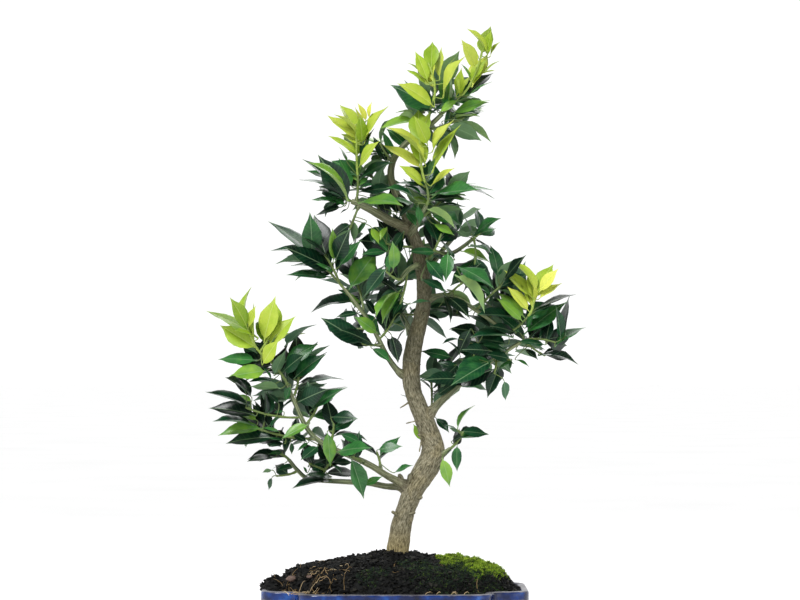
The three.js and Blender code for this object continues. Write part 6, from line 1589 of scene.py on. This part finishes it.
# Mature citrus leaf: waxy and glossy above, greyer below; a pale rib 1 mm wide and fine slanting veins.
# New citrus leaf: thinner and softer, lime to yellow-green.
def leaf_material(name, tops, belows, rib, gloss, **surface):
    """A leaf's finish: the upper face's greens, the underside's, and its rib, on the blade's own map."""
    made, tree, shader = start_material(name, **surface)
    uv = add(tree, "ShaderNodeSeparateXYZ", {"Vector": add(tree, "ShaderNodeUVMap", uv_map="leaf_map")})
    tone = add(tree, "ShaderNodeAttribute", attribute_name="tone")
    under = add(tree, "ShaderNodeAttribute", attribute_name="under")
    at = add(tree, "ShaderNodeTexCoord")
    cloud = add(tree, "ShaderNodeTexNoise", {"Vector": at.outputs["Object"], "Scale": 90.0, "Detail": 4.0})
    mixed = add(tree, "ShaderNodeMath", {0: cloud, 1: 0.5, 2: tone.outputs["Fac"]}, operation="MULTIPLY_ADD")
    shifted = add(tree, "ShaderNodeMath", {0: mixed, 1: 0.25}, operation="SUBTRACT")
    top = add(tree, "ShaderNodeValToRGB", {"Fac": shifted}, tops)
    below = add(tree, "ShaderNodeValToRGB", {"Fac": shifted}, belows)
    faced = add(tree, "ShaderNodeMix", {"Factor": under.outputs["Fac"], "A": top, "B": below},
                data_type="RGBA")
    aside = add(tree, "ShaderNodeMath", {0: uv.outputs["X"], 1: 0.5}, operation="SUBTRACT")
    away = add(tree, "ShaderNodeMath", {0: aside}, operation="ABSOLUTE")
    rib_line = add(tree, "ShaderNodeMapRange", {"Value": away, "From Min": 0.014, "From Max": 0.005,
                                                "To Max": 0.42})
    slanted = add(tree, "ShaderNodeMath", {0: away, 1: -0.8, 2: uv.outputs["Y"]}, operation="MULTIPLY_ADD")
    waves = add(tree, "ShaderNodeMath", {0: slanted, 1: 70.0}, operation="MULTIPLY")
    vein_wave = add(tree, "ShaderNodeMath", {0: waves}, operation="SINE")
    vein_line = add(tree, "ShaderNodeMapRange", {"Value": vein_wave, "From Min": 0.72, "From Max": 1.0,
                                                 "To Max": 0.06})
    lines = add(tree, "ShaderNodeMath", {0: rib_line, 1: vein_line}, operation="MAXIMUM")
    veined = add(tree, "ShaderNodeMix", {"Factor": lines, "A": faced, "B": linear(rib)}, data_type="RGBA")
    wax = add(tree, "ShaderNodeMath", {0: under.outputs["Fac"], 1: 0.28, 2: gloss}, operation="MULTIPLY_ADD")
    lift = add(tree, "ShaderNodeMath", {0: lines, 1: 1.2, 2: cloud}, operation="MULTIPLY_ADD")
    quilt = add(tree, "ShaderNodeBump", {"Height": lift, "Strength": 0.35, "Distance": 0.0006})
    feed(tree, shader, veined, wax, quilt)
    return made


leaf_materials = {
    "mature": leaf_material(
        "waxy_mature_citrus_leaf", [(0.05, "#02170F"), (0.3, "#0D3E23"), (0.6, "#377636"), (0.95, "#8AB43C")],
        [(0.05, "#46684E"), (0.5, "#6E9060"), (0.95, "#98B460")], "#94B286", 0.3, IOR=1.45,
        Specular_IOR_Level=0.42),
    "young": leaf_material(
        "soft_new_citrus_leaf", [(0.05, "#6F9424"), (0.4, "#9CB834"), (0.7, "#BCC94E"), (0.95, "#D8DC60")],
        [(0.05, "#7E9C3C"), (0.5, "#A2B94C"), (0.95, "#BFCB62")], "#CDD884", 0.42, IOR=1.42,
        Specular_IOR_Level=0.35),
}
# Green twig: this year's bark, smooth and a little waxy, darker on old shoots than on young ones.
stem_green, tree, shader = start_material("green_citrus_twig", Roughness=0.5)
tone = add(tree, "ShaderNodeAttribute", attribute_name="tone")
at = add(tree, "ShaderNodeTexCoord")
flecks = add(tree, "ShaderNodeTexNoise", {"Vector": at.outputs["Object"], "Scale": 700.0, "Detail": 3.0})
twig = add(tree, "ShaderNodeMath", {0: flecks, 1: 0.4, 2: tone.outputs["Fac"]}, operation="MULTIPLY_ADD")
twigs = add(tree, "ShaderNodeValToRGB", {"Fac": twig},
            [(0.15, "#3C4A2A"), (0.5, "#64783C"), (0.8, "#8FA648"), (1, "#B4C95A")])
feed(tree, shader, twigs)

# A shoot: blades stand on its loose points, and its edges become the stem
tree, given = start_tree("leafy_shoot", Blades="Collection", Stem_Sides="Int", Blade_Finish="Material",
                         Stem_Finish="Material")
roots = add(tree, "GeometryNodeMeshToPoints", {
    "Mesh": given["Geometry"], "Selection": named(tree, "is_leaf")})
pool = add(tree, "GeometryNodeCollectionInfo", {"Collection": given["Blades"], "Separate Children": True,
                                                "Reset Children": True})
pose = add(tree, "FunctionNodeAxesToRotation", {
    "Primary Axis": named(tree, "direction", "FLOAT_VECTOR"),
    "Secondary Axis": named(tree, "normal", "FLOAT_VECTOR")}, primary_axis="X", secondary_axis="Z")
hung = add(tree, "GeometryNodeInstanceOnPoints", {
    "Points": roots, "Instance": pool, "Pick Instance": True,
    "Instance Index": named(tree, "variant", "INT"), "Rotation": pose, "Scale": named(tree, "size")})
lines = add(tree, "GeometryNodeMeshToCurve", {"Mesh": given["Geometry"]})
circle = add(tree, "GeometryNodeCurvePrimitiveCircle", {"Resolution": given["Stem Sides"], "Radius": 1.0})
stem = add(tree, "GeometryNodeCurveToMesh", {
    "Curve": lines, "Profile Curve": circle, "Scale": named(tree, "thickness"), "Fill Caps": True})
stem_marked = add(tree, "GeometryNodeStoreNamedAttribute", {
    "Geometry": stem, "Name": "is_stem", "Value": 1.0})
both = add(tree, "GeometryNodeJoinGeometry")
for part in (hung.outputs[0], stem_marked.outputs[0]):
    tree.links.new(part, both.inputs[0])
end_tree(tree, both, (given["Blade Finish"], None), (given["Stem Finish"], named(tree, "is_stem")))
shoot_tree = tree


def note(values, **own):
    """Stores one loose point's own values, and blanks for its others."""
    for key, blank in BLANKS.items():
        values[key].append(own.get(key, blank))


# The shoots themselves: stem points first, then each leaf's stalk and the point on which its blade stands
chance = random.Random(77)
for node in dict.fromkeys(s["node"] for s in shoots.values()):
    points, edges, values = [], [], {key: [] for key in BLANKS}
    members = [s for s in shoots.values() if s["node"] == node]
    style_name = members[0]["style"]
    style = LEAF_STYLES[style_name]
    darkest, tip_adds, treetop_painted_light, spread = style["tones"]
    for shoot in members:
        back = 1.2 / max((shoot["arc"][1] - shoot["arc"][0]).length * 2, 1)
        own = leaves[shoot["name"]]
        first = len(points)
        for t in np.linspace(max(shoot["start"] - back, 0), 1, STEM["points"]):
            spot = shoot_point(shoot, t)
            near = min(((leaf["joint"] - spot).length for leaf in own), default=9)
            radius = (np.interp(t, [0, 1], [STEM_R, STEM_TIP_R]) * STEM["slim"]
                      + STEM["swell"] * math.exp(-(near / STEM["reach"]) ** 2)) * (0.6 if t == 1 else 1)
            points.append(spot)
            note(values, thickness=MM * radius, tone=style["stem_tone"])
        edges.extend((j, j + 1) for j in range(first, len(points) - 1))
        # Mature leaves are painted lighter the higher their shoot's tip stands: painted light from above.
        high = np.clip((shoot["arc"][2].z - 330) / 250, 0, 1)
        for leaf in own:
            tone = darkest + treetop_painted_light * high + tip_adds * leaf["share"] + chance.gauss(0, spread)
            # Leaves of the far side and the fillers inside the crown are painted 0.15 darker: painted shade.
            if leaf["kind"] != "seen":
                tone -= 0.15
            if leaf["tone"] is not None:
                tone = leaf["tone"]
            stalk = (leaf["root"] - leaf["joint"]).length
            if stalk > 0.8:
                first = len(points)
                lead = leaf["root"] - leaf["direction"] * min(stalk * 0.35, 2.5)
                for u in np.linspace(0, 1, STALK_POINTS):
                    points.append(leaf["joint"] * (1 - u) ** 2 + lead * 2 * u * (1 - u)
                                  + (leaf["root"] + leaf["direction"] * 0.8) * u ** 2)
                    note(values, thickness=MM * STALK_R, tone=style["stalk_tone"])
                edges.extend((j, j + 1) for j in range(first, len(points) - 1))
            points.append(leaf["root"])
            note(values, is_leaf=1, direction=leaf["direction"], normal=leaf["normal"],
                 size=leaf["length"] * MM, variant=leaf["variant"], tone=np.clip(tone, 0, 1))
    twig = piece(f"leafy_{node}", points, [], edges=edges)
    for key, noted in values.items():
        mark(twig, key, noted, KINDS.get(key, "FLOAT"))
    fit_tree(twig, shoot_tree, Blades=blade_boxes[style_name], Stem_Sides=STEM["sides"],
             Blade_Finish=leaf_materials[style_name], Stem_Finish=stem_green)
    belongs(twig, f"{style_name}_leaf", node)
for box in blade_boxes.values():
    empty_box(box)
